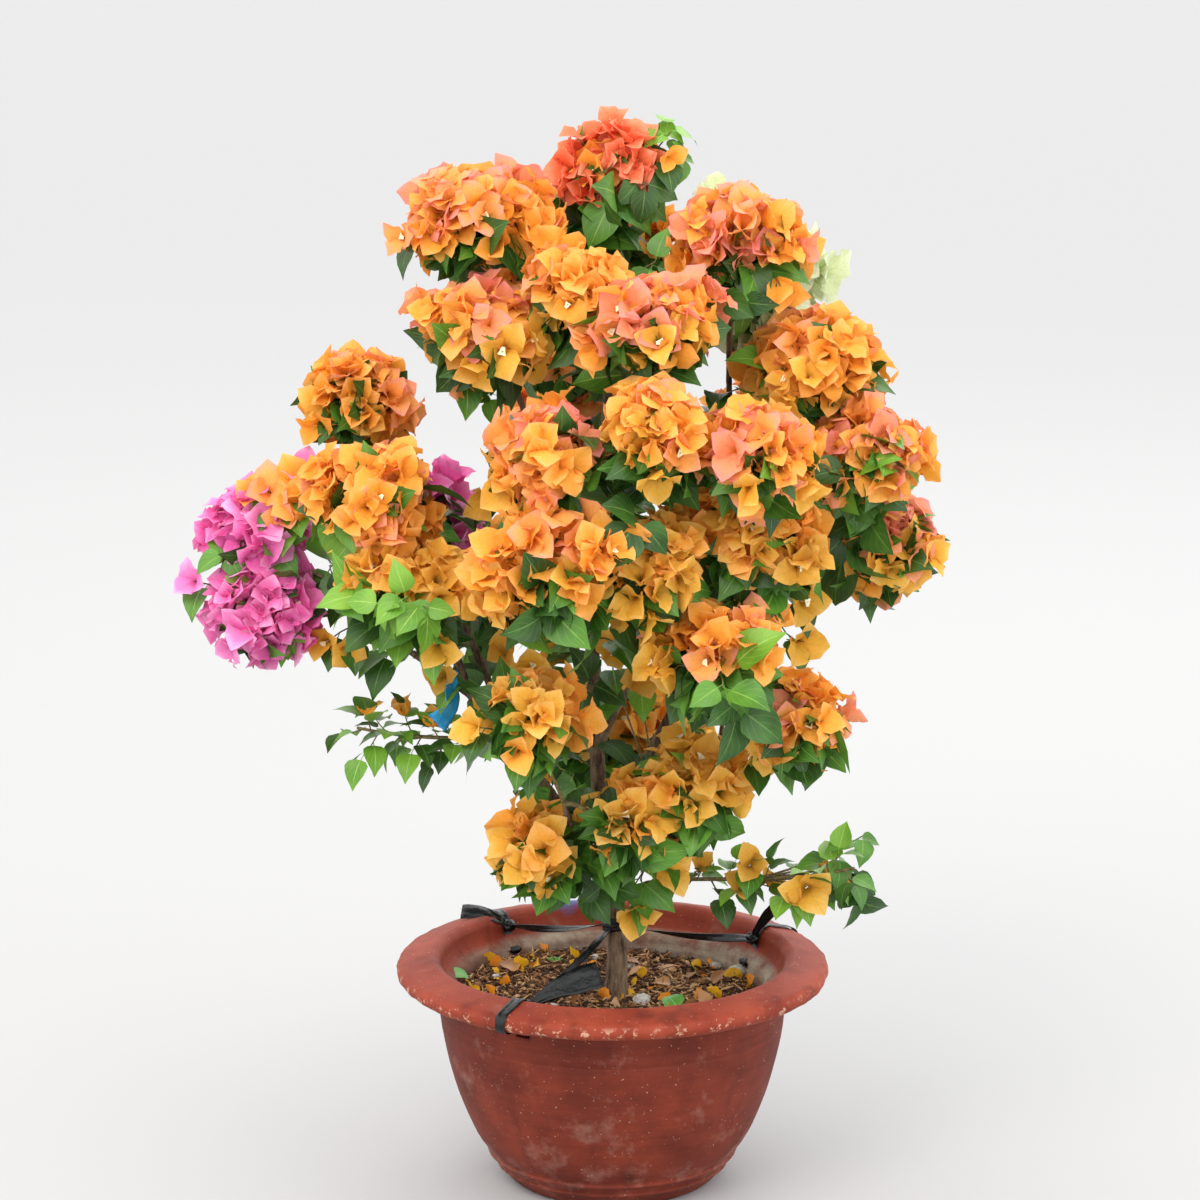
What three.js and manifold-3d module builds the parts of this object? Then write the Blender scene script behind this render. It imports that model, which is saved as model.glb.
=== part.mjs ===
// A bougainvillea bush in a round, wide-lipped clay pot, built as the real one is: one short trunk
// that forks above the potting mix, boughs that fork again, and a crown of separate blossom masses.
// Three strips of black film guy the trunk to the pot's lip, and a blue ribbon hangs on one bough.
// Millimetres, +Z up, X to the right and -Y to the front. The origin is the middle of the pot's underside.
import * as THREE from "three";
import { mergeVertices } from "three/addons/utils/BufferGeometryUtils.js";
import Module from "manifold-3d";

const wasm = await Module();
wasm.setup();

// ---- driving dimensions -------------------------------------------------------------------------
const clearance = 0.3; // between pieces that rest against each other
const up = new THREE.Vector3(0, 0, 1);

const pot = {
  segments: 36,
  footRadius: 114,
  ridgeRadius: 136,
  ridgeHeight: 34,
  shoulderRadius: 193, // under the lip
  shoulderHeight: 221,
  floorThickness: 22,
  floorRadius: 96, // inside
  wallThickness: 21,
  nose: { radius: 10, at: 230, height: 240 }, // the lip's round outer edge
  crest: { radius: 13, at: 204, height: 244 }, // the lip's round inner edge
};

const soil = { height: 207, wallHeight: 202, flatRadius: 46 };

const trunk = {
  sides: 12,
  steps: 8,
  footRadius: 14.5,
  topRadius: 11.5,
  flare: 0.45, // extra share of the radius at the soil
  flareHeight: 14,
  route: [[3, -8, 0], [5, -6, 55], [0, -2, 95], [-6, 0, 133]], // over the soil
};

// Each bough leaves its parent at a share of the parent's length and tapers to its tip.
const boughs = [
  { name: "bough_left", parent: "trunk", leaves: 0.92, tip: [-168, -110, 620], radii: [8, 4.5] },
  { name: "bough_centre", parent: "trunk", leaves: 1, tip: [-27, -80, 700], radii: [9, 5] },
  { name: "bough_right", parent: "trunk", leaves: 0.84, tip: [112, -70, 503], radii: [6.5, 4] },
  { name: "bough_right_up", parent: "trunk", leaves: 0.97, tip: [152, -50, 735], radii: [8, 4.5] },
  { name: "bough_back", parent: "trunk", leaves: 0.95, tip: [-20, 130, 610], radii: [8, 5] },
  { name: "bough_low_front", parent: "trunk", leaves: 0.8, tip: [-52, -140, 465], radii: [5.5, 3.5] },
  { name: "bough_far_left", parent: "bough_left", leaves: 0.8, tip: [-300, -75, 690], radii: [4.4, 3] },
  { name: "bough_left_high", parent: "bough_left", leaves: 0.5, tip: [-205, -45, 790], radii: [5, 3.5] },
  { name: "bough_front", parent: "bough_centre", leaves: 0.5, tip: [-15, -195, 775], radii: [5, 3.5] },
  { name: "bough_top", parent: "bough_centre", leaves: 0.82, tip: [0, 0, 1000], radii: [4.6, 3.2] },
  { name: "bough_top_left", parent: "bough_centre", leaves: 0.93, tip: [-110, -55, 930], radii: [4.4, 3.2] },
  { name: "bough_top_right", parent: "bough_right_up", leaves: 0.75, tip: [125, -35, 960], radii: [4.4, 3.2] },
  { name: "bough_far_right", parent: "bough_right_up", leaves: 0.6, tip: [225, -70, 770], radii: [4.8, 3.4] },
  { name: "bough_back_right", parent: "bough_back", leaves: 0.5, tip: [140, 120, 700], radii: [5, 3.4] },
  { name: "bough_back_up", parent: "bough_back", leaves: 0.85, tip: [0, 120, 890], radii: [4.8, 3.2] },
];
const bough = { sides: 6, steps: 6 };

// Each mass hangs on the tip of the limb named in from, or on its side at the share leaves.
// at is its middle, size its half extents, bloom the share of its outside that is blossom, and an
// open mass has twigs with sky between them where the others have a dense heart.
const masses = [
  { name: "top_coral", from: "bough_top", at: [12, 10, 1140], size: [92, 80, 58], bloom: 0.8, tint: "coral" },
  { name: "top_leaves", from: "bough_top", at: [-15, 0, 1070], size: [100, 75, 42], bloom: 0, tint: "leaf" },
  { name: "upper_left", from: "bough_top_left", at: [-150, -70, 1080],
    size: [105, 100, 75], bloom: 0.85, tint: "peach" },
  { name: "upper_right", from: "bough_top_right", at: [145, -80, 1050],
    size: [100, 100, 80], bloom: 0.85, tint: "peach" },
  { name: "white_back", from: "bough_top_right", at: [155, 55, 1005],
    size: [110, 60, 120], bloom: 1, tint: "white" },
  { name: "upper_middle", from: "bough_top", at: [-45, -145, 1025],
    size: [70, 75, 60], bloom: 0.7, tint: "orange" },
  { name: "left_shoulder", from: "bough_top_left", at: [-150, -115, 962],
    size: [112, 90, 70], bloom: 0.75, tint: "peach" },
  { name: "upper_centre", from: "bough_front", at: [40, -185, 980],
    size: [80, 80, 60], bloom: 0.75, tint: "peach" },
  { name: "left_outlier", from: "bough_left_high", at: [-255, -40, 905],
    size: [95, 80, 55], bloom: 1, tint: "orange" },
  { name: "left_large", from: "bough_left_high", at: [-245, -145, 815],
    size: [104, 100, 85], bloom: 0.85, tint: "orange" },
  { name: "pink_upper", from: "bough_far_left", at: [-392, -60, 745],
    size: [92, 75, 78], bloom: 0.75, tint: "pink" },
  { name: "pink_lower", from: "bough_far_left", at: [-378, -90, 662],
    size: [85, 75, 75], bloom: 0.9, tint: "pink" },
  { name: "left_low", from: "bough_left", at: [-222, -185, 702],
    size: [112, 95, 75], bloom: 0.45, tint: "gold" },
  { name: "centre_left", from: "bough_front", at: [-65, -250, 865],
    size: [85, 80, 70], bloom: 0.7, tint: "peach" },
  { name: "centre", from: "bough_front", at: [40, -260, 875],
    size: [70, 75, 70], bloom: 0.75, tint: "orange" },
  { name: "centre_right", from: "bough_right_up", at: [150, -240, 870],
    size: [85, 80, 70], bloom: 0.75, tint: "peach" },
  { name: "right_upper", from: "bough_far_right", at: [220, -95, 940],
    size: [95, 95, 75], bloom: 0.85, tint: "orange" },
  { name: "right_large", from: "bough_far_right", at: [262, -120, 845],
    size: [85, 100, 82], bloom: 0.9, tint: "peach" },
  { name: "right_low", from: "bough_far_right", at: [295, -80, 720],
    size: [75, 85, 75], bloom: 0.8, tint: "peach" },
  { name: "inner_right", from: "bough_right_up", at: [140, -180, 750],
    size: [100, 80, 100], bloom: 0.75, tint: "gold" },
  { name: "centre_low", from: "bough_front", at: [-60, -275, 745],
    size: [105, 85, 85], bloom: 0.75, tint: "orange" },
  { name: "centre_low_right", from: "bough_front", at: [32, -235, 735],
    size: [68, 75, 80], bloom: 0.75, tint: "gold" },
  { name: "low_right", from: "bough_right", at: [128, -230, 645],
    size: [105, 85, 75], bloom: 0.75, tint: "orange" },
  { name: "low_right_tip", from: "bough_right", at: [200, -165, 550],
    size: [70, 75, 65], bloom: 0.8, tint: "peach" },
  { name: "low_left", from: "bough_low_front", at: [-80, -225, 572],
    size: [95, 80, 82], bloom: 0.6, tint: "gold" },
  { name: "low_centre", from: "bough_low_front", at: [2, -140, 440],
    size: [62, 60, 88], bloom: 0.8, tint: "gold" },
  { name: "low_centre_right", from: "trunk", leaves: 0.9, at: [85, -120, 468],
    size: [78, 70, 85], bloom: 0.75, tint: "gold" },
  { name: "bottom_left", from: "trunk", leaves: 0.79, at: [-82, -110, 402],
    size: [80, 70, 56], bloom: 0.7, tint: "gold" },
  { name: "left_spray", from: "bough_left", leaves: 0.62, at: [-228, -90, 522],
    size: [105, 85, 72], bloom: 0.2, tint: "leaf", open: true },
  { name: "right_spray", from: "trunk", leaves: 0.78, at: [182, -60, 378],
    size: [125, 85, 78], bloom: 0.3, tint: "leaf", open: true },
  { name: "back_top", from: "bough_back_up", at: [5, 110, 1045],
    size: [80, 85, 78], bloom: 0.8, tint: "peach" },
  { name: "back_shoulder", from: "bough_back_up", at: [-30, 155, 930],
    size: [112, 105, 95], bloom: 0.75, tint: "orange" },
  { name: "back_left", from: "bough_left_high", at: [-225, 60, 745],
    size: [110, 110, 72], bloom: 0.8, tint: "pink" },
  { name: "back_centre", from: "bough_back", at: [-30, 250, 785],
    size: [130, 105, 110], bloom: 0.75, tint: "orange" },
  { name: "back_right", from: "bough_back_right", at: [195, 155, 790],
    size: [130, 110, 110], bloom: 0.75, tint: "peach" },
  { name: "back_low_left", from: "bough_back", at: [-145, 180, 625],
    size: [125, 105, 105], bloom: 0.7, tint: "gold" },
  { name: "back_low_right", from: "bough_back", at: [90, 215, 620],
    size: [125, 105, 108], bloom: 0.7, tint: "orange" },
  { name: "back_bottom", from: "trunk", leaves: 0.86, at: [10, 155, 460],
    size: [120, 95, 85], bloom: 0.65, tint: "gold" },
];

const heart = { share: 0.61, margin: 4 }; // the dense heart, as a share of the mass
const stem = { sides: 4, steps: 3, radii: [2.8, 1.6] };
const twig = { count: 11, radius: 1.5, tipRadius: 0.8, length: [20, 34] };
const spacing = { front: 84, back: 106 }; // between the shoots on the outside of a mass
// A shoot's end reaches out and rises from its foot; its floor is the share left solid under the cup.
const bract = { reach: 44, share: 1, floor: 0.42 };
const leaf = { reach: 52, share: 0.6, notch: 0.32, floor: 0.45 };
const sprig = { length: 50, width: 0.7, thickness: 1.8, cup: 0.12 }; // the single leaf of an open mass

const guys = [
  { name: "tie_front", angle: -120, tail: [62, 30, 14], hasCollar: true },
  { name: "tie_left", angle: 130, tail: [-52, 4, 30] },
  { name: "tie_right", angle: 30, tail: [34, -14, 46] },
];
const film = { width: 13, thickness: 1.6, gap: 1.1, knotRadius: 6.5, stripWidth: 7 };
const collar = { height: 291, width: 14, thickness: 2 }; // the film wound round the trunk
const slotSize = { width: 17, height: 6, level: 215.5 }; // through the pot's wall, for the film
const ribbon = { hangsOn: "bough_left", at: 0.95, length: 64, width: 12, thickness: 1.2, flare: 1.8 };

const finishes = {
  clay: new THREE.MeshStandardMaterial({ color: 0x9c4434, roughness: 0.85 }),
  soil: new THREE.MeshStandardMaterial({ color: 0x5a3d2a, roughness: 1 }),
  bark: new THREE.MeshStandardMaterial({ color: 0x7d6a56, roughness: 0.9 }),
  film: new THREE.MeshStandardMaterial({ color: 0x20262b, roughness: 0.4 }),
  ribbon: new THREE.MeshStandardMaterial({ color: 0x2a9bcb, roughness: 0.35 }),
  coral: new THREE.MeshStandardMaterial({ color: 0xee6a48, roughness: 0.7, side: THREE.DoubleSide }),
  peach: new THREE.MeshStandardMaterial({ color: 0xf2975c, roughness: 0.7, side: THREE.DoubleSide }),
  orange: new THREE.MeshStandardMaterial({ color: 0xf09a34, roughness: 0.7, side: THREE.DoubleSide }),
  gold: new THREE.MeshStandardMaterial({ color: 0xd9982e, roughness: 0.7, side: THREE.DoubleSide }),
  pink: new THREE.MeshStandardMaterial({ color: 0xdc4fa0, roughness: 0.7, side: THREE.DoubleSide }),
  white: new THREE.MeshStandardMaterial({ color: 0xe9efd2, roughness: 0.7, side: THREE.DoubleSide }),
  leaf: new THREE.MeshStandardMaterial({ color: 0x2f6a2a, roughness: 0.5, side: THREE.DoubleSide }),
};

// ---- solids -------------------------------------------------------------------------------------
const group = new THREE.Group();

// A closed geometry as a solid, its faces turned to point out.
function solidOf(geometry) {
  const bare = new THREE.BufferGeometry().setAttribute("position", geometry.getAttribute("position"));
  if (geometry.index) bare.setIndex(geometry.index);
  const merged = mergeVertices(bare, 1e-3);
  const vertProperties = merged.attributes.position.array;
  const triVerts = new Uint32Array(merged.index.array);
  const solid = new wasm.Manifold(new wasm.Mesh({ numProp: 3, vertProperties, triVerts }));
  if (solid.volume() >= 0) return solid;
  return new wasm.Manifold(new wasm.Mesh({ numProp: 3, vertProperties, triVerts: triVerts.reverse() }));
}

function add(name, solid, finish) {
  const { vertProperties, triVerts } = solid.getMesh();
  const geometry = new THREE.BufferGeometry();
  geometry.setAttribute("position", new THREE.BufferAttribute(vertProperties, 3));
  geometry.setIndex(new THREE.BufferAttribute(triVerts, 1));
  const mesh = new THREE.Mesh(geometry, finishes[finish]);
  mesh.name = name;
  group.add(mesh);
}

const largest = (solid) => solid.decompose().sort((a, b) => b.volume() - a.volume())[0];
const joined = (solids) => wasm.Manifold.union(solids);
const without = (solid, others) => (others.length ? solid.subtract(joined(others)) : solid);
const vec = (p) => new THREE.Vector3(...p);

// The same numbers for the same seed, so that the bush grows alike each time.
function seeded(seed) {
  let state = (seed * 2654435761) % 2147483647;
  return () => {
    state = (state * 16807) % 2147483647;
    return state / 2147483647;
  };
}

// A rod along a curve whose radius changes with the share of its length, from a straight cylinder.
function rod(path, radiusAt, sides, steps) {
  const geometry = new THREE.CylinderGeometry(1, 1, 1, sides, steps);
  const frames = path.computeFrenetFrames(steps);
  const place = geometry.getAttribute("position");
  for (let i = 0; i < place.count; i++) {
    const step = Math.round((place.getY(i) + 0.5) * steps);
    const radius = radiusAt(step / steps);
    const point = path.getPointAt(step / steps)
      .addScaledVector(frames.binormals[step], place.getX(i) * radius)
      .addScaledVector(frames.normals[step], place.getZ(i) * radius);
    place.setXYZ(i, point.x, point.y, point.z);
  }
  return solidOf(geometry);
}

function lathe(profile, segments = pot.segments) {
  const points = profile.map(([radius, height]) => new THREE.Vector2(radius, height));
  return solidOf(new THREE.LatheGeometry(points, segments).rotateX(Math.PI / 2));
}

const arc = ({ at, height, radius }, grow, from, to, count) =>
  Array.from({ length: count }, (_, i) => {
    const angle = THREE.MathUtils.degToRad(from + ((to - from) * i) / (count - 1));
    return [at + (radius + grow) * Math.cos(angle), height + (radius + grow) * Math.sin(angle)];
  });

// ---- pot and soil -------------------------------------------------------------------------------
// From under the nose, over the lip, to the inside: the strips of film follow the same line.
const lipLine = (grow, count) => [
  ...arc(pot.nose, grow, -100, 82, count),
  ...arc(pot.crest, grow, 92, 180, count - 1),
];

function bodyLine() {
  const spline = new THREE.SplineCurve([
    new THREE.Vector2(pot.ridgeRadius - 1.5, pot.ridgeHeight + 4),
    new THREE.Vector2(154, 63),
    new THREE.Vector2(174, 112),
    new THREE.Vector2(187, 165),
    new THREE.Vector2(pot.shoulderRadius, pot.shoulderHeight),
  ]);
  return spline.getPoints(4).map((p) => [p.x, p.y]);
}

function innerLine(gap) {
  const inner = pot.shoulderRadius - pot.wallThickness;
  return [
    [inner - gap, slotSize.level + 6],
    [inner - 2 - gap, 190],
    [inner - 17 - gap, 112],
    [inner - 38 - gap, 63],
    [pot.floorRadius - gap, pot.floorThickness + gap],
    [0, pot.floorThickness + gap],
  ];
}

const potSolid = lathe([
  [0, 0],
  [pot.footRadius - 3, 0],
  [pot.footRadius, 3],
  [pot.footRadius + 8, 14],
  [pot.ridgeRadius - 6, 26],
  [pot.ridgeRadius, pot.ridgeHeight - 3],
  [pot.ridgeRadius, pot.ridgeHeight + 1],
  ...bodyLine(),
  ...lipLine(0, 5),
  ...innerLine(0),
]);

// A slot for each strip of film, straight through the wall below the lip.
function slotAt(angle) {
  const depth = 3 * pot.wallThickness;
  const box = new THREE.BoxGeometry(depth, slotSize.width, slotSize.height);
  box.translate(pot.shoulderRadius - pot.wallThickness / 2, 0, slotSize.level);
  return solidOf(box.rotateZ(THREE.MathUtils.degToRad(angle)));
}
add("pot", without(potSolid, guys.map((guy) => slotAt(guy.angle))), "clay");

const soilSolid = lathe([
  ...innerLine(clearance).slice(1).reverse(),
  [pot.shoulderRadius - pot.wallThickness - 1.8, soil.wallHeight],
  [pot.shoulderRadius * 0.6, soil.height - 2],
  [soil.flatRadius, soil.height],
  [0, soil.height],
]);
add("soil", soilSolid, "soil");

// ---- trunk and boughs ---------------------------------------------------------------------------
// Every limb keeps its curve and its radius, and is made again a little larger where others are cut clear.
const limbs = new Map();
const cutters = [];

function keepLimb(name, path, radiusAt, sides, steps) {
  const solid = largest(without(rod(path, radiusAt, sides, steps), cutters));
  cutters.push(rod(path, (t) => radiusAt(t) + clearance + 0.1, sides, steps));
  limbs.set(name, { path, radiusAt, solid });
  return solid;
}

const foot = soil.height + clearance;
const trunkPath = new THREE.CatmullRomCurve3(trunk.route.map(([x, y, z]) => new THREE.Vector3(x, y, foot + z)));
const trunkHeight = trunk.route.at(-1)[2];
const trunkRadius = (t) =>
  THREE.MathUtils.lerp(trunk.footRadius, trunk.topRadius, t) *
  (1 + trunk.flare * Math.exp((-t * trunkHeight) / trunk.flareHeight));
// The first ring is laid level, for the flat cut at the soil.
const trunkSolid = rod(trunkPath, trunkRadius, trunk.sides, trunk.steps)
  .trimByPlane([0, 0, 1], foot + 0.4);
cutters.push(rod(trunkPath, (t) => trunkRadius(t) + clearance + 0.1, trunk.sides, trunk.steps));
limbs.set("trunk", { path: trunkPath, radiusAt: trunkRadius });
add("trunk", trunkSolid.translate([0, 0, -0.4]), "bark");

// A limb leaves its parent half along the parent's own line, and ends leaning up.
function limbPath(parent, leaves, tip) {
  const { path } = limbs.get(parent);
  const start = path.getPointAt(leaves);
  const reach = tip.distanceTo(start);
  const straight = tip.clone().sub(start).normalize();
  const leaving = path.getTangentAt(leaves).add(straight).normalize();
  const arriving = straight.clone().addScaledVector(up, 0.45).normalize();
  return new THREE.CubicBezierCurve3(
    start,
    start.clone().addScaledVector(leaving, reach * 0.33),
    tip.clone().addScaledVector(arriving, -reach * 0.33),
    tip,
  );
}

for (const { name, parent, leaves, tip, radii } of boughs) {
  const path = limbPath(parent, leaves, vec(tip));
  const radiusAt = (t) => THREE.MathUtils.lerp(radii[0], radii[1], t);
  add(name, keepLimb(name, path, radiusAt, bough.sides, bough.steps), "bark");
}

// ---- foliage ------------------------------------------------------------------------------------
// A blade with its root at the origin, its tip along +Y and its face along +Z, from an octahedron.
function blade({ length, width, thickness, cup }, size) {
  const geometry = new THREE.OctahedronGeometry(1, 0);
  const place = geometry.getAttribute("position");
  for (let i = 0; i < place.count; i++) {
    const [x, y, z] = [place.getX(i), place.getY(i), place.getZ(i)];
    const along = y > 0.5 ? length : y < -0.5 ? 0 : length * 0.5;
    const lift = Math.abs(x) * cup * length;
    place.setXYZ(i, (x * length * width * size) / 2, along * size, (z * thickness) / 2 + lift * size);
  }
  return geometry;
}

function laid(geometry, root, direction, face) {
  const y = direction.clone().normalize();
  const x = y.clone().cross(face).normalize();
  const z = x.clone().cross(y);
  return geometry.applyMatrix4(new THREE.Matrix4().makeBasis(x, y, z).setPosition(root));
}

const golden = Math.PI * (3 - Math.sqrt(5));
const around = (k, count, turn) => {
  const height = 1 - (2 * k + 1) / count;
  const ring = Math.sqrt(1 - height * height);
  return new THREE.Vector3(ring * Math.cos(k * golden + turn), ring * Math.sin(k * golden + turn), height);
};

const supportOf = ({ size: [a, b, c] }, d) => Math.hypot(a * d.x, b * d.y, c * d.z);

// The mass's own space: its ellipsoid, on its own side of a plane to each neighbour that it would meet.
function spaceOf(mass) {
  const middle = vec(mass.at);
  const planes = masses.filter((other) => other !== mass).flatMap((other) => {
    const toward = vec(other.at).sub(middle);
    const apart = toward.length();
    toward.normalize();
    const own = supportOf(mass, toward);
    const theirs = supportOf(other, toward);
    return own + theirs > apart ? [{ toward, reach: (apart * own) / (own + theirs) - 0.6 }] : [];
  });
  const holds = (point) => {
    const from = point.clone().sub(middle);
    const [a, b, c] = mass.size;
    const isInside = Math.hypot(from.x / a, from.y / b, from.z / c) <= 1.01;
    return isInside && planes.every(({ toward, reach }) => from.dot(toward) < reach);
  };
  return { middle, holds, planes };
}

function cornersOf(geometry) {
  const place = geometry.getAttribute("position");
  return Array.from({ length: place.count }, (_, i) => new THREE.Vector3().fromBufferAttribute(place, i));
}

const isNear = (limb, point) =>
  limb.samples.some(({ at, radius }) => at.distanceToSquared(point) < (radius + 1) ** 2);

const meetsLimb = (points, ownStem) =>
  [...limbs].some(([name, limb]) => name !== ownStem && points.some((point) => isNear(limb, point)));

function sampled(limb) {
  const count = Math.ceil(limb.path.getLength() / 5);
  limb.samples = Array.from({ length: count + 1 }, (_, i) => ({
    at: limb.path.getPointAt(i / count),
    radius: limb.radiusAt(i / count),
  }));
}

// All stems come first, so that no leaf of one mass is laid across the stem of another.
const stemName = (mass) => mass.name + "_stem";
for (const mass of masses) {
  const middle = vec(mass.at);
  const reachesTip = mass.leaves === undefined;
  const path = limbPath(mass.from, reachesTip ? 1 : mass.leaves, middle);
  if (mass.open) {
    // an open mass's stem runs on, level, to its far end
    const outward = middle.clone().sub(limbs.get(mass.from).path.getPointAt(mass.leaves)).setZ(0).normalize();
    path.v3.addScaledVector(outward, mass.size[0] * 0.8);
    path.updateArcLengths();
  }
  const radiusAt = (t) => THREE.MathUtils.lerp(stem.radii[0], stem.radii[1], t);
  keepLimb(stemName(mass), path, radiusAt, stem.sides, mass.open ? 2 * stem.steps : stem.steps);
}
limbs.forEach(sampled);

// A shoot's end, from a bipyramid: three bracts that cup a flower, joined at their sides, or a pair
// of leaves with a notch between them. It opens along +Y from a foot at the origin.
function rosette({ reach, rise, notch, floor }, size) {
  const sides = notch ? 4 : 3;
  const geometry = new THREE.SphereGeometry(1, sides, 2);
  const place = geometry.getAttribute("position");
  for (let i = 0; i < place.count; i++) {
    const [x, y, z] = [place.getX(i), place.getY(i), place.getZ(i)];
    const isPole = Math.abs(y) > 0.5;
    const isTip = sides === 3 || Math.abs(x) > 0.5;
    const out = isPole ? 0 : isTip ? 1 : notch;
    const height = isPole ? (y > 0 ? floor : 0) : isTip ? 1 : 0.6;
    place.setXYZ(i, x * out * reach * size, height * rise * size, z * out * reach * size);
  }
  return geometry;
}

// The heart of a dense mass, cut back where a neighbour is near.
function heartOf(mass, { middle, planes }) {
  const core = new THREE.IcosahedronGeometry(1, 0);
  core.scale(...mass.size.map((half) => half * heart.share * 1.1)).translate(...mass.at);
  return planes.reduce((solid, { toward, reach }) => {
    const face = toward.dot(middle) + reach - 1;
    return solid.trimByPlane(toward.clone().negate().toArray(), -face);
  }, solidOf(core));
}

function denseMass(mass, random) {
  const space = spaceOf(mass);
  const { middle, holds, planes } = space;
  const fits = (points) => points.every(holds) && !meetsLimb(points, stemName(mass));
  const grown = vec(mass.at).sub(limbs.get(mass.from).path.getPointAt(mass.leaves ?? 1)).normalize();
  const half = vec(mass.size);
  const sections = [half.x * half.y, half.x * half.z, half.y * half.z];
  const outside = 4 * Math.PI * (sections.reduce((sum, section) => sum + section ** 1.6, 0) / 3) ** 0.625;
  const step = mass.at[1] > 50 ? spacing.back : spacing.front;
  const count = Math.round(outside / (step * step)) + 3;
  const parts = [heartOf(mass, space)];
  for (let k = 0; k < count; k++) {
    const d = around(k, count, mass.at[0]);
    const surface = half.clone().multiply(d);
    if (planes.some(({ toward, reach }) => surface.dot(toward) > reach + heart.margin)) continue;
    const root = middle.clone().addScaledVector(surface, heart.share * 0.85);
    const lean = new THREE.Vector3(random(), random(), random()).subScalar(0.5).multiplyScalar(0.7);
    const outward = d.clone().divide(half).normalize().add(lean).normalize();
    const deep = surface.length() * (1 - heart.share * 0.85);
    const kind = (1 + d.dot(grown)) / 2 > 1 - mass.bloom ? bract : leaf;
    const shape = { ...kind, rise: Math.min(deep * kind.share, kind.reach) };
    const made = [1, 0.82, 0.66, 0.54]
      .map((size) => laid(rosette(shape, size * (0.94 + 0.12 * random())), root, outward, lean))
      .find((geometry) => fits(cornersOf(geometry)));
    if (made) parts.push(solidOf(made));
  }
  return parts;
}

// Twigs leave the stem by turns, each with a leaf on its side and a rosette or a leaf at its end.
function openMass(mass, random) {
  const { holds } = spaceOf(mass);
  const { path } = limbs.get(stemName(mass));
  const parts = [];
  const addIfItFits = (geometry) => {
    const corners = cornersOf(geometry);
    if (corners.every(holds) && !meetsLimb(corners, stemName(mass))) parts.push(solidOf(geometry));
  };
  for (let k = 0; k < twig.count; k++) {
    const t = 0.3 + (0.69 * (k + 0.5)) / twig.count;
    const along = path.getTangentAt(t);
    const side = up.clone().cross(along).normalize().applyAxisAngle(along, k * golden);
    const direction = along.clone().multiplyScalar(0.5).add(side).normalize();
    const start = path.getPointAt(t);
    const end = start.clone().addScaledVector(direction, THREE.MathUtils.lerp(...twig.length, random()));
    if (!holds(end)) continue;
    const line = new THREE.LineCurve3(start, end);
    parts.push(rod(line, (s) => THREE.MathUtils.lerp(twig.radius, twig.tipRadius, s), 3, 1));
    const size = 0.8 + 0.2 * random();
    const level = up.clone().addScaledVector(direction, -up.dot(direction)).normalize();
    const beside = direction.clone().cross(level).addScaledVector(direction, 0.7);
    addIfItFits(laid(blade(sprig, size), line.getPoint(0.6), beside, level));
    if (random() < mass.bloom) {
      const cup = rosette({ ...bract, rise: bract.reach }, 0.7 * size);
      addIfItFits(laid(cup, line.getPoint(0.8), direction, level));
    } else {
      addIfItFits(laid(blade(sprig, size), line.getPoint(0.92), direction, level));
    }
  }
  return parts;
}

// Each mass is cut clear of every limb but its own stem, and then fused to it.
masses.forEach((mass, i) => {
  const random = seeded(i + 11);
  const parts = mass.open ? openMass(mass, random) : denseMass(mass, random);
  const ownStem = limbs.get(stemName(mass));
  const others = cutters.filter((_, n) => n !== 1 + boughs.length + i);
  const fused = joined([without(joined(parts), others), ownStem.solid]);
  add(mass.name, largest(fused.simplify(0.02)), mass.tint);
});

// ---- strips of film and ribbon ------------------------------------------------------------------
// The band lies over the lip and closes through its slot. It is drawn in the plane of the pot's axis.
function bandOutline(grow) {
  const inner = pot.shoulderRadius - pot.wallThickness - film.gap - grow;
  const outer = pot.shoulderRadius + 1.5 + grow;
  const low = slotSize.level - grow;
  return [[inner, low], [outer, low], ...lipLine(film.gap + grow, 5), [inner, slotSize.level + 6]];
}

function band(angle) {
  const shape = new THREE.Shape(bandOutline(film.thickness).map((p) => new THREE.Vector2(...p)));
  shape.holes.push(new THREE.Path(bandOutline(0).reverse().map((p) => new THREE.Vector2(...p))));
  const plate = new THREE.ExtrudeGeometry(shape, { depth: film.width, bevelEnabled: false });
  plate.translate(0, 0, -film.width / 2).rotateX(Math.PI / 2);
  return solidOf(plate.rotateZ(THREE.MathUtils.degToRad(angle)));
}

// A flat strip between two points, its width turned from one side to another along the way.
function strip(from, to, startSide, endSide, { width, thickness, flare }) {
  const steps = 3;
  const geometry = new THREE.BoxGeometry(1, 1, 1, 1, steps, 1);
  const place = geometry.getAttribute("position");
  const along = to.clone().sub(from).normalize();
  for (let i = 0; i < place.count; i++) {
    const t = place.getY(i) + 0.5;
    const side = startSide.clone().lerp(endSide, t);
    side.addScaledVector(along, -side.dot(along)).normalize();
    const face = side.clone().cross(along);
    const point = from.clone().lerp(to, t)
      .addScaledVector(side, place.getX(i) * width * THREE.MathUtils.lerp(1, flare, t))
      .addScaledVector(face, place.getZ(i) * thickness);
    place.setXYZ(i, point.x, point.y, point.z);
  }
  return solidOf(geometry);
}

const onTrunk = (height) => {
  const t = (height - foot) / trunkHeight;
  return { point: trunkPath.getPoint(t), radius: trunkRadius(t) };
};

function collarRing(grow) {
  const { point, radius } = onTrunk(collar.height);
  const inner = radius + clearance + 1.2;
  const half = collar.width / 2;
  const outer = inner + collar.thickness + grow;
  const low = -half - grow;
  const high = half + grow;
  const profile = [[inner, low], [outer, low], [outer + 1, 0], [outer, high], [inner, high], [inner, low]];
  return lathe(profile, 14).translate(point.toArray());
}

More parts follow.
